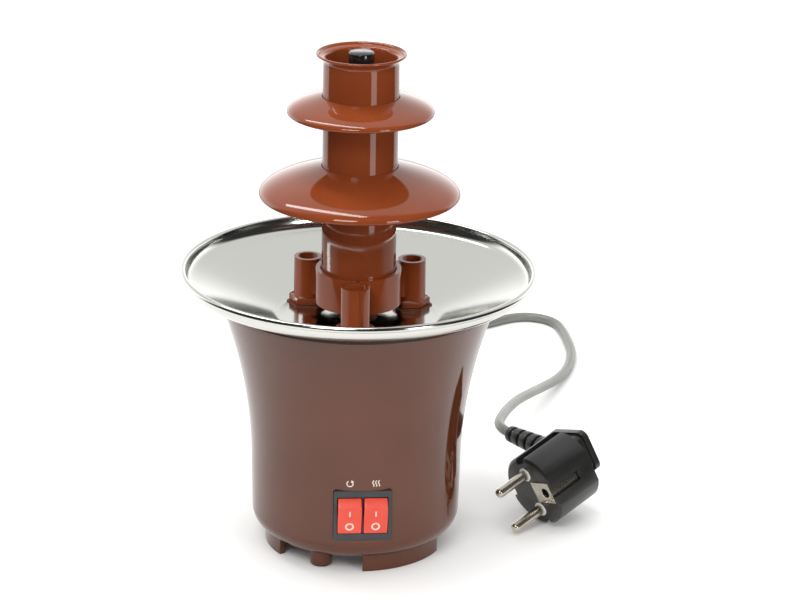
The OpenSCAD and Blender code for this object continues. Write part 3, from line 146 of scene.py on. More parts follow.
def rounded(corners, steps=5):
    """An outline whose corners (x, y, radius) are rounded; a corner without a radius stays as it is."""
    out = []
    count = len(corners)
    for i, corner in enumerate(corners):
        here = Vector(corner[:2])
        if len(corner) < 3 or corner[2] <= 0:
            out.append(tuple(here))
            continue
        before, after = Vector(corners[i - 1][:2]), Vector(corners[(i + 1) % count][:2])
        u, v = (before - here).normalized(), (after - here).normalized()
        half = u.angle(v) / 2
        trim = min(corner[2] / tan(half), 0.49 * (before - here).length, 0.49 * (after - here).length)
        radius = trim * tan(half)
        middle = here + (u + v).normalized() * radius / sin(half)
        a, b = here + u * trim - middle, here + v * trim - middle
        sweep = a.angle_signed(b) if a.length and b.length else 0
        for k in range(steps + 1):
            spin = -sweep * k / steps
            out.append((middle.x + a.x * cos(spin) - a.y * sin(spin),
                        middle.y + a.x * sin(spin) + a.y * cos(spin)))
    return out


def piece(name, points, faces, sharp=35):
    """A mesh object in metres from points in mm, shaded smooth but for edges sharper than the given angle."""
    mesh = bpy.data.meshes.new(name)
    mesh.from_pydata([tuple(v * MM for v in p) for p in points], [], faces)
    tidy = bmesh.new()
    tidy.from_mesh(mesh)
    bmesh.ops.remove_doubles(tidy, verts=tidy.verts, dist=1e-6)
    bmesh.ops.recalc_face_normals(tidy, faces=tidy.faces)
    tidy.to_mesh(mesh)
    tidy.free()
    obj = bpy.data.objects.new(name, mesh)
    bpy.context.collection.objects.link(obj)
    return smooth(obj, sharp)


def smooth(obj, sharp=35):
    obj.data.shade_smooth()
    obj.data.set_sharp_from_angle(angle=radians(sharp))
    return obj


def band(near, far, count):
    """Faces between two rings of count points, whose first points have the numbers near and far."""
    return [(near + k, near + (k + 1) % count, far + (k + 1) % count, far + k) for k in range(count)]


def lathe(name, outline, steps=144, sharp=35):
    """A closed outline of (radius, height) turned round the Z axis."""
    count = len(outline)
    ways = [2 * pi * k / steps for k in range(steps)]
    points = [(r * sin(a), -r * cos(a), z) for a in ways for r, z in outline]
    faces = [face for k in range(steps) for face in band(k * count, (k + 1) % steps * count, count)]
    return piece(name, points, faces, sharp)


def keep(obj, sharp=35):
    """Fix the modifiers' result as the mesh."""
    made = bpy.data.meshes.new_from_object(obj.evaluated_get(bpy.context.evaluated_depsgraph_get()))
    obj.modifiers.clear()
    obj.data = made
    return smooth(obj, sharp)


# %% [markdown]
# Real corners of moulded parts have a radius of a few tenths of a millimetre, which `bevel` gives. `soften`
# copies a solid that already has the right form, merges the faces that lie in one plane, so that only real
# edges are left, and bevels those. The solid itself is left as it is. `cut` subtracts or joins pieces with a
# boolean, `prism` raises an outline, and `stands_for` lets a finished piece ride on its body in place of the
# solid it was made for.

# %% Soft edges and cut-outs


def bevel(obj, radius, segments, angle):
    """Round an object's edges that are sharper than an angle; radius in mm."""
    edges = obj.modifiers.new("edges", "BEVEL")
    edges.width = radius * MM
    edges.segments = segments
    edges.limit_method = "ANGLE"
    edges.angle_limit = radians(angle)


def soften(name, node, radius=0.3, segments=3, angle=35):
    """A copy of a solid with its sharp edges rounded; radius in mm."""
    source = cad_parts[node]
    mesh = source.data.copy()
    tidy = bmesh.new()
    tidy.from_mesh(mesh)
    bmesh.ops.remove_doubles(tidy, verts=tidy.verts, dist=2e-6)
    bmesh.ops.dissolve_limit(tidy, angle_limit=radians(1.5), verts=tidy.verts, edges=tidy.edges)
    tidy.to_mesh(mesh)
    tidy.free()
    obj = bpy.data.objects.new(name, mesh)
    bpy.context.collection.objects.link(obj)
    bevel(obj, radius, segments, angle)
    return keep(obj, angle)


def cut(obj, *tools, operation="DIFFERENCE"):
    """Cut the tools out of the object, or join them to it."""
    for tool in tools:
        step = obj.modifiers.new("cut", "BOOLEAN")
        step.operation, step.solver, step.object = operation, "EXACT", tool
        keep(obj)
        bpy.data.objects.remove(tool)
    return obj


def prism(name, outline, low, high, place=None):
    """An outline in the XY plane, raised from low to high, then moved by a matrix in mm."""
    count = len(outline)
    points = [Vector((x, y, z)) for z in (low, high) for x, y in outline]
    if place is not None:
        points = [place @ p for p in points]
    faces = [tuple(range(count))[::-1], tuple(range(count, 2 * count))] + band(0, count, count)
    return piece(name, points, faces)


def ring_of(radius, count, x=0, y=0):
    """Points of a circle about (x, y)."""
    return [(radius * cos(a) + x, radius * sin(a) + y) for a in [2 * pi * i / count for i in range(count)]]


def rounded_box(width, height, radius):
    """A rectangle about the origin with round corners."""
    w, h = width / 2, height / 2
    return rounded([(-w, -h, radius), (w, -h, radius), (w, h, radius), (-w, h, radius)], 6)


def stands_for(obj, body, slot, *nodes):
    """Let a finished piece ride on its body in place of the solids it was made for."""
    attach(obj, body)
    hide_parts(*nodes)
    print(obj.name, len(obj.data.polygons), "faces")
    return obj


# %% [markdown]
# The housing is one injection moulding. It stands on a rounded bottom edge, rises nearly straight past the
# switches and flares to the bowl. The outline below follows the solid's, in finer steps, with a small radius
# on its top edge. The recess for the switches is cut out of it, as the mould's own core does.

# %% Housing outline
WALL, WAIST_R, FLARE_Z, FLARE = 2.2, 49.4, 40, 15.2
EDGE_R, EDGE_Z, EDGE_MIDDLE_R = 10.2, 17.2, 38.7
TAPER = 0.5
body_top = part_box("body_shell")[1].z / MM


def body_radius(z):
    if z < FLARE_Z:
        return WAIST_R - TAPER + TAPER * (z - EDGE_Z) / (FLARE_Z - EDGE_Z)
    return WAIST_R + FLARE * ((z - FLARE_Z) / (body_top - FLARE_Z)) ** 2


def edge_arc(radius, angles):
    return [(EDGE_MIDDLE_R + radius * cos(radians(a)), EDGE_Z + radius * sin(radians(a))) for a in angles]


bottom_arc = edge_arc(EDGE_R, [-64.75 + 64.75 * i / 12 for i in range(13)])
heights = [28.6, FLARE_Z] + [FLARE_Z + (body_top - 1 - FLARE_Z) * i / 36 for i in range(1, 37)]
wall_line = [(body_radius(z), z) for z in heights]
top_edge = [(64.35, body_top - 0.3), (64.1, body_top), (62.6, body_top)]
inner_wall = [(r - WALL, z) for r, z in wall_line[::-1]]
inner_arc = edge_arc(EDGE_R - WALL, [-57 * i / 8 for i in range(9)])
housing = lathe("housing", bottom_arc + wall_line + top_edge + inner_wall + inner_arc, 180)
print("housing's radius at its top in mm:", round(body_radius(body_top), 2))

# %% [markdown]
# Three tools are cut from the housing. The recess takes the switches' frame, which lies flat although the
# wall is round, so that a thin shadow shows over it. The pocket behind goes right through for the switches,
# and a round hole at the back lets the lead out. A small bevel then breaks the new edges.

# %% Switch recess and lead hole
SWITCH_Z, LEAD_Z = 31.0, 22
front = Matrix.Translation((0, -49.0, SWITCH_Z)) @ Matrix.Rotation(radians(90), 4, "X")
recess = prism("recess", rounded_box(27.0, 24.9, 0.9), -2.0, 6, front)
pocket = prism("pocket", rounded_box(24.6, 22.8, 0.4), -8, 6, front)
back = Matrix.Translation((0, 40, LEAD_Z)) @ Matrix.Rotation(radians(-90), 4, "X")
lead_hole = prism("lead_hole", ring_of(4.43, 48), 0, 14, back)
cut(housing, recess, pocket, lead_hole)
bevel(housing, 0.25, 2, 50)
keep(housing)
stands_for(housing, "base", "housing", "body_shell")

# %% [markdown]
# The bowl is spun from one disc of stainless sheet, 0.7 mm thick. A flat floor meets a shallow cone, the
# edge turns up steeply, and the rim is rolled outwards into a bead so that it isn't sharp. Small radii at
# the bends are what a spinning tool leaves, and they make the reflections bend softly there.

# %% Bowl
FLOOR_R, FLOOR_Z, SHAFT_HOLE_R, SHEET = 38, 112, 6.5, 0.7
SLOPE = (128.4 - FLOOR_Z) / (79.4 - FLOOR_R)
POST_RING_R, FIRST_POST = 28, -6.5


def cone_line(r):
    return FLOOR_Z + (r - FLOOR_R) * SLOPE


inside = [(SHAFT_HOLE_R + 29.5 * i / 6, FLOOR_Z) for i in range(7)]
inside += [(FLOOR_R, FLOOR_Z + 0.05), (40, cone_line(40))]
inside += [(40 + 37 * i / 24, cone_line(40 + 37 * i / 24)) for i in range(1, 25)]
inside += [(78.1, 128.0), (79.0, 128.7), (79.7, 129.7), (80.2, 130.9), (80.5, 132.0), (80.62, 132.6)]
bead = [(81.1 + 1.4 * cos(a), 133.4 + 1.4 * sin(a)) for a in [radians(205 - 300 * i / 22) for i in range(23)]]
outside = [(80.9, 131.2), (80.45, 129.8), (79.9, 128.9), (78.9, 127.9)]
outside += [(77 - 37 * i / 12, cone_line(77 - 37 * i / 12) - SHEET - 0.05) for i in range(13)]
outside += [(FLOOR_R - 0.1, FLOOR_Z - SHEET), (SHAFT_HOLE_R, FLOOR_Z - SHEET)]
bowl = lathe("bowl_of_steel", inside + bead + outside, 216, 50)
stud_holes = [prism("stud_hole", ring_of(2.15, 24, POST_RING_R * sin(t), -POST_RING_R * cos(t)),
                    FLOOR_Z - 2, FLOOR_Z + 1)
              for t in [radians(FIRST_POST + 120 * k) for k in range(3)]]
cut(bowl, *stud_holes)
smooth(bowl, 50)
stands_for(bowl, "base", "steel", "bowl")

# %% [markdown]
# The tower's tiers are moulded too: a tube with a mushroom dome whose surface swells outwards and ends in a
# thin round lip. The dome is a power curve, steep near the lip and almost flat by the seat. Forty rows of
# faces keep its outline and its reflections smooth, where a coarse one would show bands.

# %% Domes and tubes
BORE_R, DOME_THICK, LIP_R = 15.9, 1.8, 0.9


def dome_line(edge_r, edge_z, seat_r, top_z, drop, rows=40):
    out = []
    for i in range(rows + 1):
        share = sin(pi / 2 * i / rows)
        r = seat_r + (edge_r - seat_r) * share
        out.append((r, edge_z + (top_z - edge_z) * (1 - share) ** (1 / 1.8) - drop))
    return out


def tier_outline(low, tube_r, edge_r, edge_z, top_z, next_r):
    seat = next_r + 0.2
    root = top_z - 5.9
    tube = [(BORE_R, low + 0.3), (BORE_R + 0.3, low), (tube_r - 0.3, low), (tube_r, low + 0.3),
            (tube_r, low + 0.8), (tube_r, root - 1.6), (tube_r, root - 1.2), (tube_r + 0.4, root - 0.2)]
    under = dome_line(edge_r, edge_z, seat, top_z, DOME_THICK)
    under = [p for p in under if tube_r + 0.8 < p[0] < edge_r - 2.4]
    turns = [radians(-90 * k / 6) for k in range(6, 0, -1)]
    lip = [(edge_r - 1.9, edge_z - 0.8)]
    lip += [(edge_r - LIP_R + LIP_R * cos(a), edge_z - 0.1 + LIP_R * sin(a)) for a in turns]
    inner_seat = [(seat + 0.15, top_z), (seat, top_z - 0.15), (seat, top_z - 2.2), (BORE_R, top_z - 2.2)]
    return tube + under + lip + dome_line(edge_r, edge_z, seat, top_z, 0)[:0:-1] + inner_seat


lower = lathe("lower_tier_moulding", tier_outline(121, 17.2, 46.3, 170.6, 183.8, 17.35), 180)
upper = lathe("upper_tier_moulding", tier_outline(181.6, 17.35, 33.7, 209.5, 216.8, 17.5), 180)
stands_for(lower, "lower_tier", "tower", "lower_tier")
stands_for(upper, "upper_tier", "tower", "upper_tier")

# %% [markdown]
# The crown is the last tube, with a funnel lip that lets the chocolate well over evenly. Its lip is rolled
# like a cup's rim.

# %% Crown
lip_r, lip_z, half = 20.05, 236.2, 0.55
lip = [(lip_r + half * cos(a), lip_z + half * sin(a)) for a in [radians(20 * k - 60) for k in range(11)]]
crown_line = [(BORE_R, 214.9), (BORE_R + 0.3, 214.6), (17.2, 214.6), (17.5, 214.9), (17.5, 219),
              (17.3, 231.8), (17.3, 232.2), (17.38, 232.9), (17.65, 233.6), (18.3, 234.4), (19.2, 235.2)]
crown_line += lip + [(19.2, 236.3), (18.9, 235.7), (17.6, 235.5), (16.7, 235.2), (16.1, 234.6),
                     (BORE_R, 233.9)]
crown = lathe("crown_moulding", crown_line, 180)
stands_for(crown, "crown", "tower", "crown")

# %% [markdown]
# The auger is a left-handed screw. Turned anticlockwise, it carries chocolate up inside the tube. Its flight
# is swept as a strip of cross-sections, each turned and raised a little, and the strip is closed at both
# ends.

# %% Auger
FLIGHT_TOP, FLIGHT_LOW, PITCH = 233.1, 116.4, 20
turns = (FLIGHT_TOP - FLIGHT_LOW) / PITCH
steps = round(turns * 60)
section = [(4.6, -1.8), (14.5, -1.35), (14.8, -1.2), (14.9, -0.9), (14.9, -0.4), (14.8, -0.12), (14.5, 0),
           (4.6, 0)]
points, faces = [], []
for i in range(steps + 1):
    angle = radians(-44 + 360 * turns * i / steps)
    z = FLIGHT_TOP - (FLIGHT_TOP - FLIGHT_LOW) * i / steps
    points += [(r * sin(angle), -r * cos(angle), z + dz) for r, dz in section]
count = len(section)
for i in range(steps):
    faces += band(i * count, (i + 1) * count, count)
faces += [tuple(range(count)), tuple(range(steps * count, (steps + 1) * count))[::-1]]
flight = piece("auger_flight", points, faces)
core = lathe("auger_core", [(0.01, 124), (3.0, 124), (3.0, 114.8), (5.6, 114.8), (5.85, 115.1), (5.85, 236.6),
                            (5.7, 236.9), (5.35, 237.1), (0.01, 237.1)], 72)
cut(core, flight, operation="UNION")
core.name = "auger_screw"
stands_for(core, "auger", "auger", "auger")

# %% [markdown]
# The tower's foot is a collar with three sockets that drop over posts in the bowl. Its solid has the right
# form, so the piece is that form with moulded radii: 0.6 mm, about what such a mould has. The posts, the
# bottom cover and its rubber feet are made in the same way, each with its own radius.

# %% Tower foot, posts, cover and feet
tower_foot = stands_for(soften("tower_foot", "tower_base", 0.6, 4), "tower_base", "tower", "tower_base")
posts = []
for side in ("front", "right", "left"):
    node = f"tower_post_{side}"
    posts.append(stands_for(soften(f"post_{side}", node, 0.5, 4), "base", "tower", node))
cover = stands_for(soften("bottom_tray", "bottom_cover", 0.4, 3), "base", "housing", "bottom_cover")
feet = stands_for(soften("rubber_feet", "foot_pads", 0.25, 3), "base", "rubber", "foot_pads")

# %% [markdown]
# Two rocker switches share one frame of dark nylon, whose solid only needs its edges broken.

# %% Switch frame
bezel = stands_for(soften("switch_bezel", "switch_frame", 0.35, 3), "base", "switch_grey", "switch_frame")

# %% [markdown]
# A rocker is a segment of a drum. Its face is slightly hollow, and one end stands proud while the other is
# pressed in. So its profile is drawn once, from the drum's radius and the half angle of the face, and each
# point of it is then turned by the rocker's tilt about the hinge.

# %% A rocker's profile
TILT, HINGE_Y, ROCK_R, FACE = radians(14.5), -43.0, 10.6, radians(40.8)
ROCKER_X, ROCKER_HALF, HOLLOW = 6, 5.5, 0.35
face_x, face_half = ROCK_R * cos(FACE), ROCK_R * sin(FACE)
print("half length of a rocker's face in mm:", round(face_half, 2))


def face_depth(v):
    return face_x - HOLLOW * (1 - (v / face_half) ** 2)


def on_rocker(x, depth, v, side):
    """A point of a rocker: across, out from its hinge and along its face, turned to the rocker's tilt."""
    y, z = -depth, v
    return (side * ROCKER_X + x, HINGE_Y + y * cos(TILT) - z * sin(TILT),
            SWITCH_Z + y * sin(TILT) + z * cos(TILT))


def rocker_outline():
    arc = [(ROCK_R * cos(a), ROCK_R * sin(a)) for a in [radians(70 - 29.2 * i / 12) for i in range(12)]]
    edge_round = [(face_x + 0.02, face_half - 0.05), (face_x - 0.06, face_half - 0.35)]
    face = [(face_depth(v), v) for v in [(face_half - 0.8) * (1 - i / 10) for i in range(21)]]
    other_end = [(d, -v) for d, v in (arc + edge_round)[::-1]]
    return arc + edge_round + face + other_end + [(-2, -2), (-2, 2)]


# %% [markdown]
# The rocker's sides bulge a little in the middle. So it is built as rows across its profile, each row
# following the bulge, and a bevel breaks its edges.

# %% Rockers


def rocker(name, side):
    outline = rocker_outline()
    count, rows = len(outline), 9
    points = []
    for k in range(rows):
        across = -1 + 2 * k / (rows - 1)
        for d, v in outline:
            points.append(on_rocker(across * (ROCKER_HALF - 0.25 * (v / ROCK_R) ** 2), d, v, side))
    faces = [face for k in range(rows - 1) for face in band(k * count, (k + 1) * count, count)]
    faces += [tuple(range(count))[::-1], tuple(range((rows - 1) * count, rows * count))]
    obj = piece(name, points, faces)
    bevel(obj, 0.3, 3, 60)
    return keep(obj, 45)


rockers = [stands_for(rocker("rocker_motor", -1), "motor_rocker", "rocker", "motor_rocker"),
           stands_for(rocker("rocker_heat", 1), "heat_rocker", "rocker", "heat_rocker")]

# %% [markdown]
# The marks I and O are pad-printed: a skin of cream ink a few hundredths of a millimetre thick. Each mark is
# a strip of small faces laid on the rocker's hollow face, so it bends with that face.

# %% Printed marks on the rockers


def strip(name, centre_line, width, lay, closed=False, thick=0.05):
    """A strip of ink of one width along a line of (across, along) points; lay puts a point on its surface."""
    count = len(centre_line)
    points, faces = [], []
    for i, (x, v) in enumerate(centre_line):
        a = centre_line[i - 1] if closed or i else centre_line[0]
        b = centre_line[(i + 1) % count] if closed or i < count - 1 else centre_line[-1]
        way = Vector((b[0] - a[0], b[1] - a[1])).normalized() * width / 2
        for side, lift in ((1, -thick), (1, thick), (-1, thick), (-1, -thick)):
            points.append(lay(x - way.y * side, v + way.x * side, lift))
    last = count if closed else count - 1
    for i in range(last):
        faces += band(4 * i, (i + 1) % count * 4, 4)
    if not closed:
        faces += [(0, 1, 2, 3), (4 * count - 1, 4 * count - 2, 4 * count - 3, 4 * count - 4)]
    return piece(name, points, faces)


marks = []
for name, side, body in (("motor", -1, "motor_rocker"), ("heat", 1, "heat_rocker")):
    def lay(x, v, lift):
        return on_rocker(x, face_depth(v) + lift, v, side)
    bar = strip(f"mark_on_{name}", [(0, 2.4 + 3.0 * i / 6) for i in range(7)], 0.65, lay)
    ring = strip(f"mark_off_{name}", ring_of(1.65, 40, 0, -3.35), 0.8, lay, True)
    marks += [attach(m, body) for m in (bar, ring)]

# %% [markdown]
# Over each switch stands a small printed symbol instead of a word: a turning arrow for the motor and three
# warm waves for the heater. They are printed on the housing's curve, so each point is laid at the housing's
# own radius there.

# %% Symbols on the housing


def on_housing(x, z, lift):
    r = body_radius(z) + lift
    return (x, -sqrt(r * r - x * x), z)


SYMBOL_Z, ARROW_R = 47, 1.4
arrow_line = [(ARROW_R * cos(a) - ROCKER_X, ARROW_R * sin(a) + SYMBOL_Z)
              for a in [radians(120 + 270 * i / 24) for i in range(25)]]
arrow = strip("symbol_turning", arrow_line, 0.5, on_housing)
tip = radians(30)
across, way = Vector((cos(tip), sin(tip))), Vector((-sin(tip), cos(tip)))
head_at = Vector((-ROCKER_X, SYMBOL_Z)) + ARROW_R * across
head = [head_at + across * 0.8, head_at + way * 1.3, head_at - across * 0.8]
arrow_head = piece("symbol_turning_tip", [on_housing(*p, lift) for lift in (-0.05, 0.05) for p in head],
                   [(2, 1, 0), (3, 4, 5), (0, 1, 4, 3), (1, 2, 5, 4), (2, 0, 3, 5)])
waves = []
for k in range(3):
    wave = [(ROCKER_X + 1.3 * (k - 1) + 0.3 * sin(2 * pi * i / 14), SYMBOL_Z - 1.5 + 3 * i / 16)
            for i in range(17)]
    waves.append(strip(f"symbol_warm_{k + 1}", wave, 0.5, on_housing))
symbols = [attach(s, "base") for s in (arrow, arrow_head, *waves)]
print("printed marks:", len(marks), "symbols:", len(symbols))

# %% [markdown]
# A bend guard is a tapered rubber sleeve with grooves that let it flex. The one at the housing has grooves
# all the way round, so it is turned like a lathe piece and then laid along the lead.

# %% Bend guard at the housing


def guard_outline(root, tip, length, ribs, gap, bore):
    step = (length - gap) / (ribs + 0.5)
    out = [(bore, 0), (root, 0)]
    for i in range(1, ribs + 1):
        z, r = step * i, root + (tip - root) * step * i / length
        deep = r - (r - LEAD_R) * 0.45
        out += [(r + 0.02, z - 0.25), (r - 0.25, z), (deep + 0.15, z + 0.05), (deep, z + 0.3)]
        z += gap
        out += [(deep, z - 0.3), (deep + 0.15, z - 0.05), (r - 0.3, z), (r - 0.06, z + 0.25)]
    return out + [(tip + 0.05, length - 0.3), (tip - 0.3, length), (bore, length)]


GUARD_BORE, GUARD_L, FLANGE = 2.53, 25, 2
guard_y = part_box("cord_gland")[1].y / MM - GUARD_L - FLANGE
guard_line = [(GUARD_BORE, 0), (6.0, 0), (6.4, 0.4), (6.4, FLANGE - 0.4), (6.0, FLANGE)]
guard_line += [(r, z + FLANGE) for r, z in guard_outline(4.8, 3.5, GUARD_L, 5, 1.4, GUARD_BORE)[1:]]
gland = lathe("lead_guard", guard_line, 64, 40)
gland.data.transform(Matrix.Translation(metres(0, guard_y, LEAD_Z)) @ Matrix.Rotation(radians(-90), 4, "X"))
stands_for(gland, "base", "black_plastic", "cord_gland")

# %% [markdown]
# The plug is moulded round its lead in black PVC. Its body, with the key grooves and the plate to pull it
# by, is the solid with generous radii. `into_plug` carries a piece that was made upright at the origin to
# where the plug lies, by the turn and the place that the solid has.

# %% Plug
plug_turn = Euler([radians(a) for a in (-134.6, -64.9, 168.3)], "XYZ")
PLUG = Matrix.Translation((85.7, 6.2, 17.7)) @ plug_turn.to_matrix().to_4x4()


def into_plug(obj):
    """Move a piece that was made at the origin, in the plug's own frame, to the plug."""
    shift = PLUG.copy()
    shift.translation = shift.translation * MM
    obj.data.transform(shift)
    return obj


plug = stands_for(soften("plug_moulding", "plug_body", 0.7, 4), "base", "plug", "plug_body")
plug_guard = stands_for(soften("plug_guard", "plug_bend_guard", 0.3, 3), "base", "plug", "plug_bend_guard")

# %% [markdown]
# The pins are turned brass with nickel on them, 4.8 mm thick, and their tips are domed so that they find the
# socket. One pin is turned and copied to the other side, and both are joined to one piece, as the solid has
# them.

# %% Plug pins and the lead's end
PIN_R, PIN_L, PIN_TIP, PIN_SET = 2.4, 19, 1.9, 9.5
pin_line = [(0.01, -12), (2.16, -12), (2.16, 0.55), (PIN_R, 0.7)]
pin_line += [(PIN_R * cos(a) ** 0.8, PIN_L - PIN_TIP + PIN_TIP * sin(a))
             for a in [radians(9 * k) for k in range(10)]]
pins = lathe("plug_pin_pair", pin_line + [(0.01, PIN_L)], 48)
other = pins.data.copy()
pins.data.transform(Matrix.Translation(metres(PIN_SET, 0, 0)))
other.transform(Matrix.Translation(metres(-PIN_SET, 0, 0)))
pair = bmesh.new()
pair.from_mesh(pins.data)
pair.from_mesh(other)
pair.to_mesh(pins.data)
pair.free()
stands_for(into_plug(smooth(pins)), "base", "plated", "plug_pins")
collars = stands_for(soften("pin_collars", "plug_pin_collars", 0.15, 2), "base", "white_plastic",
                     "plug_pin_collars")
contacts = stands_for(soften("earth_contacts", "plug_earth_contacts", 0.12, 2), "base", "plated",
                      "plug_earth_contacts")

# %% [markdown]
# Every finish below starts from what the real material is. Its colours are written as sRGB hex values, as a
# paint program shows them, and one function turns them into the linear values that a shader works in. One
# more function adds a node with its settings and links. No real surface has one flat colour, so `grained`
# lets the colour drift between two near shades over patches and gives the surface fine grains.

# %% Tools for materials


def linear(code):
    """An sRGB hex value as the linear colour that a shader works in."""
    out = []
    for k in (1, 3, 5):
        c = int(code[k:k + 2], 16) / 255
        out.append(c / 12.92 if c <= 0.04045 else ((c + 0.055) / 1.055) ** 2.4)
    return (*out, 1)


def add(tree, kind, links=None, **settings):
    """Add a node: settings are its options or its sockets' values, links its sockets' sources."""
    node = tree.nodes.new(kind)
    for key, value in settings.items():
        if key in node.inputs:
            node.inputs[key].default_value = value
        else:
            setattr(node, key, value)
    for key, source in (links or {}).items():
        tree.links.new(source, node.inputs[key])
    return node


def start(name, **values):
    """An empty material: its tree, its shader with the given values and the place on the object."""
    print("material:", name)
    material = bpy.data.materials.new(name)
    material.use_nodes = True
    tree = material.node_tree
    tree.nodes.clear()
    shader = add(tree, "ShaderNodeBsdfPrincipled", **values)
    add(tree, "ShaderNodeOutputMaterial", {"Surface": shader.outputs[0]})
    place = add(tree, "ShaderNodeTexCoord").outputs["Object"]
    return material, tree, shader, place


def grained(name, dark, light, patch, grain, height, detail=3, **values):
    """A finish of two near shades in patches, with grains of a width and a height; sizes in mm."""
    material, tree, shader, place = start(name, **values)
    grains = add(tree, "ShaderNodeTexNoise", {"Vector": place}, Scale=1 / (grain * MM), Detail=detail)
    bump = add(tree, "ShaderNodeBump", {"Height": grains.outputs["Fac"]}, Distance=height * MM, Strength=1.0)
    tree.links.new(bump.outputs["Normal"], shader.inputs["Normal"])
    patches = add(tree, "ShaderNodeTexNoise", {"Vector": place}, Scale=1 / (patch * MM), Detail=2)
    ramp = add(tree, "ShaderNodeValToRGB", {"Fac": patches.outputs["Fac"]})
    ramp.color_ramp.elements[0].position, ramp.color_ramp.elements[0].color = 0.3, linear(dark)
    ramp.color_ramp.elements[1].position, ramp.color_ramp.elements[1].color = 0.7, linear(light)
    tree.links.new(ramp.outputs["Color"], shader.inputs["Base Color"])
    return material


def paint(material, *objects):
    for obj in objects:
        obj.data.materials.clear()
        obj.data.materials.append(material)


# %% [markdown]
# The housing and the tower are glossy ABS, injection moulded in a polished mould. ABS has an IOR near 1.53.
# A polished mould leaves a faint orange peel, waves of two or three millimetres and well under a hundredth
# of a millimetre high, which makes reflections swim a little. The pigment gives two shades: a deep chocolate
# brown below and a warm chestnut above.

# %% ABS
housing_abs = grained("ABS_polished_chocolate_brown", "#5A2A14", "#623018", patch=40, grain=3, height=0.0015,
                      detail=1, Roughness=0.07, IOR=1.53)
paint(housing_abs, housing, cover)

tower_abs = grained("ABS_polished_chestnut", "#843D1E", "#8E4424", patch=30, grain=3, height=0.0015, detail=1,
                    Roughness=0.06, IOR=1.53)
paint(tower_abs, lower, upper, crown, tower_foot, *posts)

# %% [markdown]
# The bowl is stainless steel, spun on a lathe and then brushed while it turned. That leaves fine rings round
# the axis. The real ones are under a tenth of a millimetre apart, too fine to show, so they are drawn half a
# millimetre apart. The rings come from noise along the distance to the axis. Metals keep the default IOR.

# %% Stainless steel
steel, tree, shader, place = start("stainless_steel_spun_and_brushed", Metallic=1.0)
shader.inputs["Base Color"].default_value = linear("#CBCBC6")
flat = add(tree, "ShaderNodeVectorMath", {0: place}, operation="MULTIPLY")
flat.inputs[1].default_value = (1, 1, 0)
distance = add(tree, "ShaderNodeVectorMath", {0: flat.outputs[0]}, operation="LENGTH")
RING_GAP, RING_HEIGHT = 0.5, 0.002
rings = add(tree, "ShaderNodeTexNoise", {"W": distance.outputs["Value"]}, noise_dimensions="1D",
            Scale=1 / (RING_GAP * MM), Detail=4)
ring_bump = add(tree, "ShaderNodeBump", {"Height": rings.outputs["Fac"]}, Distance=RING_HEIGHT * MM,
                Strength=1.0)
tree.links.new(ring_bump.outputs["Normal"], shader.inputs["Normal"])
rough = add(tree, "ShaderNodeMapRange", {"Value": rings.outputs["Fac"]})
rough.inputs["To Min"].default_value, rough.inputs["To Max"].default_value = 0.07, 0.2
tree.links.new(rough.outputs["Result"], shader.inputs["Roughness"])
paint(steel, bowl)

# %% [markdown]
# The auger is moulded in black acetal, a slippery plastic that chocolate doesn't stick to. It is glossy.

# %% Auger plastic
auger_pom = grained("acetal_glossy_black", "#161514", "#1F1E1C", patch=25, grain=1.5, height=0.003,
                    Roughness=0.14, IOR=1.48)
paint(auger_pom, core)

# %% [markdown]
# The plug is PVC from a spark-eroded mould, which gives a fine even texture of about 0.4 mm grains and a
# satin sheen. The lead's sheath is smoother PVC in grey, extruded, with soft highlights along it.

# %% PVC
plug_pvc = grained("PVC_satin_black", "#1B1B1A", "#242423", patch=12, grain=0.4, height=0.005,
                   Roughness=0.36, IOR=1.54)
paint(plug_pvc, plug, plug_guard)

sheath_pvc = grained("PVC_extruded_grey", "#7C7B76", "#868580", patch=20, grain=1.2, height=0.004,
                     Roughness=0.3, IOR=1.54)
paint(sheath_pvc, mains_lead)

# %% [markdown]
# The rockers are polycarbonate, moulded in signal red, with a low sheen. The frame is black nylon that has
# greyed slightly. The ink is matt cream.

# %% Switch materials
rocker_pc = grained("polycarbonate_signal_red", "#F24C38", "#F65540", patch=6, grain=0.5, height=0.002,
                    Roughness=0.35, IOR=1.58)
paint(rocker_pc, *rockers)

bezel_pa = grained("nylon_moulded_dark_grey", "#333335", "#3B3B3D", patch=6, grain=0.4, height=0.004,
                   Roughness=0.4, IOR=1.53)
paint(bezel_pa, bezel)

ink = grained("ink_matt_cream", "#EADBC8", "#F2E6D6", patch=2, grain=0.2, height=0.002,
              Roughness=0.6, IOR=1.5)
paint(ink, *marks, *symbols)

# %% [markdown]
# Nickel plate on the pins and the earth contacts is bright but slightly warm, and a little uneven from being
# pushed into sockets. Rubber feet and the lead's guard are matt black. The insulating collars are white
# nylon.

# %% Metal, rubber and small plastics
nickel = grained("nickel_plated_brass", "#B9B1A4", "#CFC8BC", patch=4, grain=0.6, height=0.003,
                 Metallic=1.0, Roughness=0.26)
paint(nickel, pins, contacts)

rubber = grained("rubber_moulded_black", "#1E1D1C", "#272625", patch=5, grain=0.5, height=0.01,
                 Roughness=0.7, IOR=1.52)
paint(rubber, feet, gland)

white_pa = grained("nylon_moulded_white", "#E8E6E1", "#F2F0EC", patch=4, grain=0.4, height=0.003,
                   Roughness=0.4, IOR=1.53)
paint(white_pa, collars)

# %% [markdown]
# The pieces inside the housing and the thin seals under the posts keep their solids' shapes. Each gets the
# finish of its own kind, so that an opened or lifted view looks right too: zinc-plated screws, bright brass,
# milky gears, black plastic. Each line of the table gives two shades, how metallic and how rough the surface
# is, the width of its grains in mm and the nodes that have it.

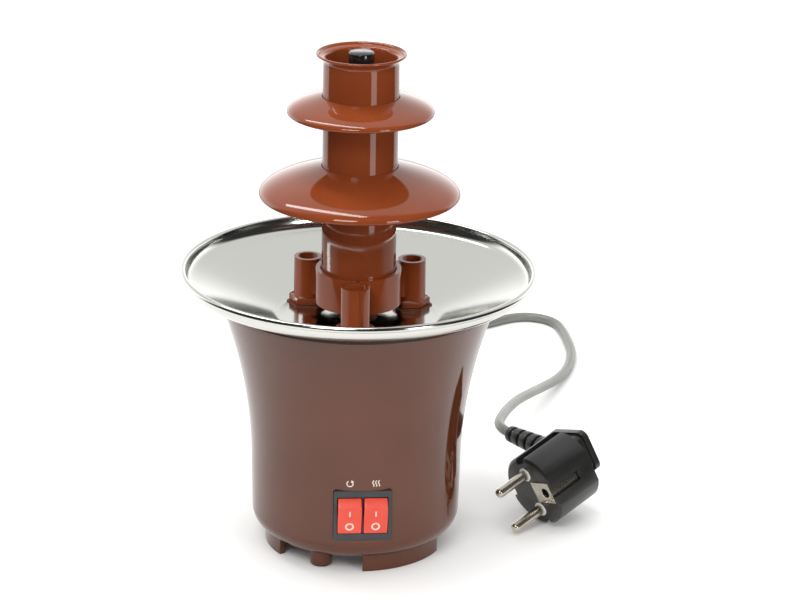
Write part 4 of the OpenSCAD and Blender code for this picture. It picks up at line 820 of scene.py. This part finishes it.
# %% Finishes inside
INSIDE = {
    "steel_turned_bright": ("#BFBDB8", "#CBC9C4", 1.0, 0.25, 0.5, ["drive_shaft", "idler_pin", "post_studs"]),
    "steel_zinc_plated": ("#B4B6B6", "#C6C9C8", 1.0, 0.35, 0.6, ["cover_screws", "case_screws", "post_nuts",
                                                                 "spacer_sleeves", "motor_can"]),
    "aluminium_rolled_plate": ("#B6B8BA", "#C3C5C7", 1.0, 0.4, 1.0, ["heater_plate"]),
    "steel_heater_sheath": ("#6E6C6A", "#7C7A76", 1.0, 0.5, 0.8, ["heating_element"]),
    "brass_turned": ("#B08A3C", "#BE984A", 1.0, 0.3, 0.5, ["rotor_pinion", "upper_bush", "lower_bush",
                                                          "switch_tabs", "terminal_screws"]),
    "acetal_gear_white": ("#E4E0D4", "#ECE9DF", 0.0, 0.35, 0.8, ["output_gear", "idler_gear", "gear_case_tub",
                                                                "gear_case_lid", "terminal_block"]),
    "ABS_moulded_inner_brown": ("#472115", "#4E2619", 0.0, 0.35, 1.5, ["motor_deck"]),
    "phenolic_black": ("#232222", "#2C2B2A", 0.0, 0.45, 0.5, ["thermostat", "motor_end_cap"]),
    "ceramic_glazed_cream": ("#D5D0C2", "#DEDACE", 0.0, 0.2, 1.0, ["thermal_fuse"]),
    "ferrite_magnet": ("#3F3F41", "#4C4C4E", 0.0, 0.6, 0.3, ["motor_magnets"]),
    "armature_laminated_steel": ("#7E4B26", "#95602F", 1.0, 0.4, 0.7, ["motor_rotor"]),
    "silicone_chestnut": ("#6A2D18", "#74341C", 0.0, 0.4, 1.0, ["shaft_seal", "post_gaskets"]),
    "rubber_seal_ring": ("#211F1E", "#2A2827", 0.0, 0.65, 0.6, ["bowl_seal_ring"]),
    "PVC_sheath_inside": ("#8A8982", "#94938C", 0.0, 0.3, 1.2, ["cord_tail"]),
}
for name, (dark, light, metal, roughness, grain, nodes) in INSIDE.items():
    inner = grained(name, dark, light, patch=8, grain=grain, height=0.003,
                    Metallic=metal, Roughness=roughness)
    paint(inner, *[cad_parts[n] for n in nodes])
print("finishes:", len(bpy.data.materials))

# %% [markdown]
# The stage is a white table. In front of the fountain it is 0.6 m wide and ends after 0.37 m, and behind it
# widens past the picture. Glossy brown walls mirror it, which lays the pale veil over the housing that the
# photograph shows. The upright tubes look over its edge and mirror a dark room. The table's own colour keeps
# the shadow. A little light of its own, seen by the camera, in mirrors and through glass only, brings its
# open part up to white. Ambient occlusion takes that light away within 60 mm of a piece. This is painted
# shade: it darkens the floor under and beside the feet, on top of the lamps' real shadow there.

# %% Table
TABLE_HALF, TABLE_FRONT, OWN_LIGHT, PAINTED_SHADE_REACH = 300, -370, 0.42, 60
table_edge = [(TABLE_HALF, TABLE_FRONT), (TABLE_HALF, 240), (2500, 900), (2500, 3500)]
table_edge += [(-x, y) for x, y in table_edge[::-1]]
table = piece("table", [(x, y, 0) for x, y in table_edge], [tuple(range(len(table_edge)))])
white = bpy.data.materials.new("table_white_laminate")
white.use_nodes = True
tree = white.node_tree
tree.nodes.clear()
path = add(tree, "ShaderNodeLightPath")
seen = add(tree, "ShaderNodeMath", {0: path.outputs["Is Camera Ray"], 1: path.outputs["Is Glossy Ray"]},
           operation="MAXIMUM")
seen = add(tree, "ShaderNodeMath", {0: seen.outputs[0], 1: path.outputs["Is Transmission Ray"]},
           operation="MAXIMUM")
# Painted shade: ambient occlusion fades the table's own light near every piece, darkening the floor under and
# beside them.
painted_contact_shade = add(tree, "ShaderNodeAmbientOcclusion", Distance=PAINTED_SHADE_REACH * MM)
seen = add(tree, "ShaderNodeMath", {0: seen.outputs[0], 1: painted_contact_shade.outputs["AO"]}, operation="MULTIPLY")
lift = add(tree, "ShaderNodeMath", {0: seen.outputs[0]}, operation="MULTIPLY")
lift.inputs[1].default_value = OWN_LIGHT
body = add(tree, "ShaderNodeBsdfDiffuse", Color=linear("#E6E6E4"))
glow = add(tree, "ShaderNodeEmission", {"Strength": lift.outputs[0]})
both = add(tree, "ShaderNodeAddShader", {0: body.outputs[0], 1: glow.outputs[0]})
add(tree, "ShaderNodeOutputMaterial", {"Surface": both.outputs[0]})
paint(white, table)
print("table's front edge in mm:", TABLE_FRONT, "its width there:", 2 * TABLE_HALF)

# %% [markdown]
# The world is white where the camera sees it. For mirror rays it is bright behind and above the fountain,
# where the paper backdrop hangs, brightest near the horizon, and dark in front, where the room is. That
# makes the domes fade to white at their backs. For soft light it is stronger from above than from the sides.

# %% World
DARK_ROOM, PAPER_HIGH, PAPER_HORIZON, SOFT_LOW, SOFT_HIGH = 0.04, 0.95, 2.2, 0.3, 1.0
world = bpy.data.worlds.new("studio")
bpy.context.scene.world = world
world.use_nodes = True
tree = world.node_tree
tree.nodes.clear()
path = add(tree, "ShaderNodeLightPath")
way = add(tree, "ShaderNodeSeparateXYZ", {0: add(tree, "ShaderNodeTexCoord").outputs["Generated"]})
side = add(tree, "ShaderNodeMath", {0: way.outputs["Z"], 2: way.outputs["Y"]}, operation="MULTIPLY_ADD")
side.inputs[1].default_value = 0.5
behind = add(tree, "ShaderNodeMapRange", {"Value": side.outputs[0]}, interpolation_type="SMOOTHSTEP")
behind.inputs["From Min"].default_value, behind.inputs["From Max"].default_value = 0.25, 0.55
height = add(tree, "ShaderNodeMapRange", {"Value": way.outputs["Z"]}, interpolation_type="SMOOTHSTEP")
height.inputs["From Min"].default_value, height.inputs["From Max"].default_value = 0.5, -0.05
height.inputs["To Min"].default_value, height.inputs["To Max"].default_value = PAPER_HIGH, PAPER_HORIZON
mirrored = add(tree, "ShaderNodeMath", {0: behind.outputs["Result"], 1: height.outputs["Result"]},
               operation="MULTIPLY_ADD")
mirrored.inputs[2].default_value = DARK_ROOM
from_above = add(tree, "ShaderNodeMapRange", {"Value": way.outputs["Z"]})
from_above.inputs["To Min"].default_value, from_above.inputs["To Max"].default_value = SOFT_LOW, SOFT_HIGH
mirror = add(tree, "ShaderNodeMath", {0: path.outputs["Is Glossy Ray"]}, operation="MAXIMUM")
tree.links.new(path.outputs["Is Transmission Ray"], mirror.inputs[1])
soft = add(tree, "ShaderNodeMix", {"Factor": mirror.outputs[0], 3: mirrored.outputs[0]}, data_type="FLOAT")
tree.links.new(from_above.outputs["Result"], soft.inputs[2])
level = add(tree, "ShaderNodeMix", {"Factor": path.outputs["Is Camera Ray"], 2: soft.outputs[0]},
            data_type="FLOAT")
level.inputs[3].default_value = 1.0
sky = add(tree, "ShaderNodeBackground", {"Strength": level.outputs[0]}, Color=(1, 1, 1, 1))
add(tree, "ShaderNodeOutputWorld", {"Surface": sky.outputs[0]})
print("world's nodes:", len(tree.nodes))

# %% [markdown]
# Four lamps light the fountain. A long narrow box hangs above, turned so that its mirror image is the long
# streak near each dome's lip. A box in front at the left is the key light. A small one at the right and one
# below the table's height leave the small streak and the tall light along the tubes. No lamp shows itself.

# %% Soft boxes


def soft_box(name, place, aim_z, width, height, watts, spin=0):
    """A lamp that faces the tower's axis at aim_z and is turned on itself by spin degrees."""
    lamp = bpy.data.lights.new(name, "AREA")
    lamp.shape, lamp.size, lamp.size_y, lamp.energy = "RECTANGLE", width * MM, height * MM, watts
    obj = bpy.data.objects.new(name, lamp)
    bpy.context.collection.objects.link(obj)
    obj.location = metres(*place)
    facing = (metres(0, 0, aim_z) - metres(*place)).to_track_quat("-Z", "Y")
    obj.rotation_euler = (facing @ Quaternion((0, 0, 1), radians(spin))).to_euler()
    obj.visible_camera = False


soft_box("soft_box_left", (-470, 190, 1580), aim_z=150, width=1700, height=200, watts=11, spin=68)
soft_box("soft_box_front", (-500, -1250, 1300), aim_z=120, width=700, height=500, watts=9)
soft_box("soft_box_right", (750, -1100, 500), aim_z=150, width=300, height=300, watts=3)
soft_box("soft_box_low", (640, -920, -140), aim_z=200, width=340, height=500, watts=1.4)
print("lamps:", len(bpy.data.lights))
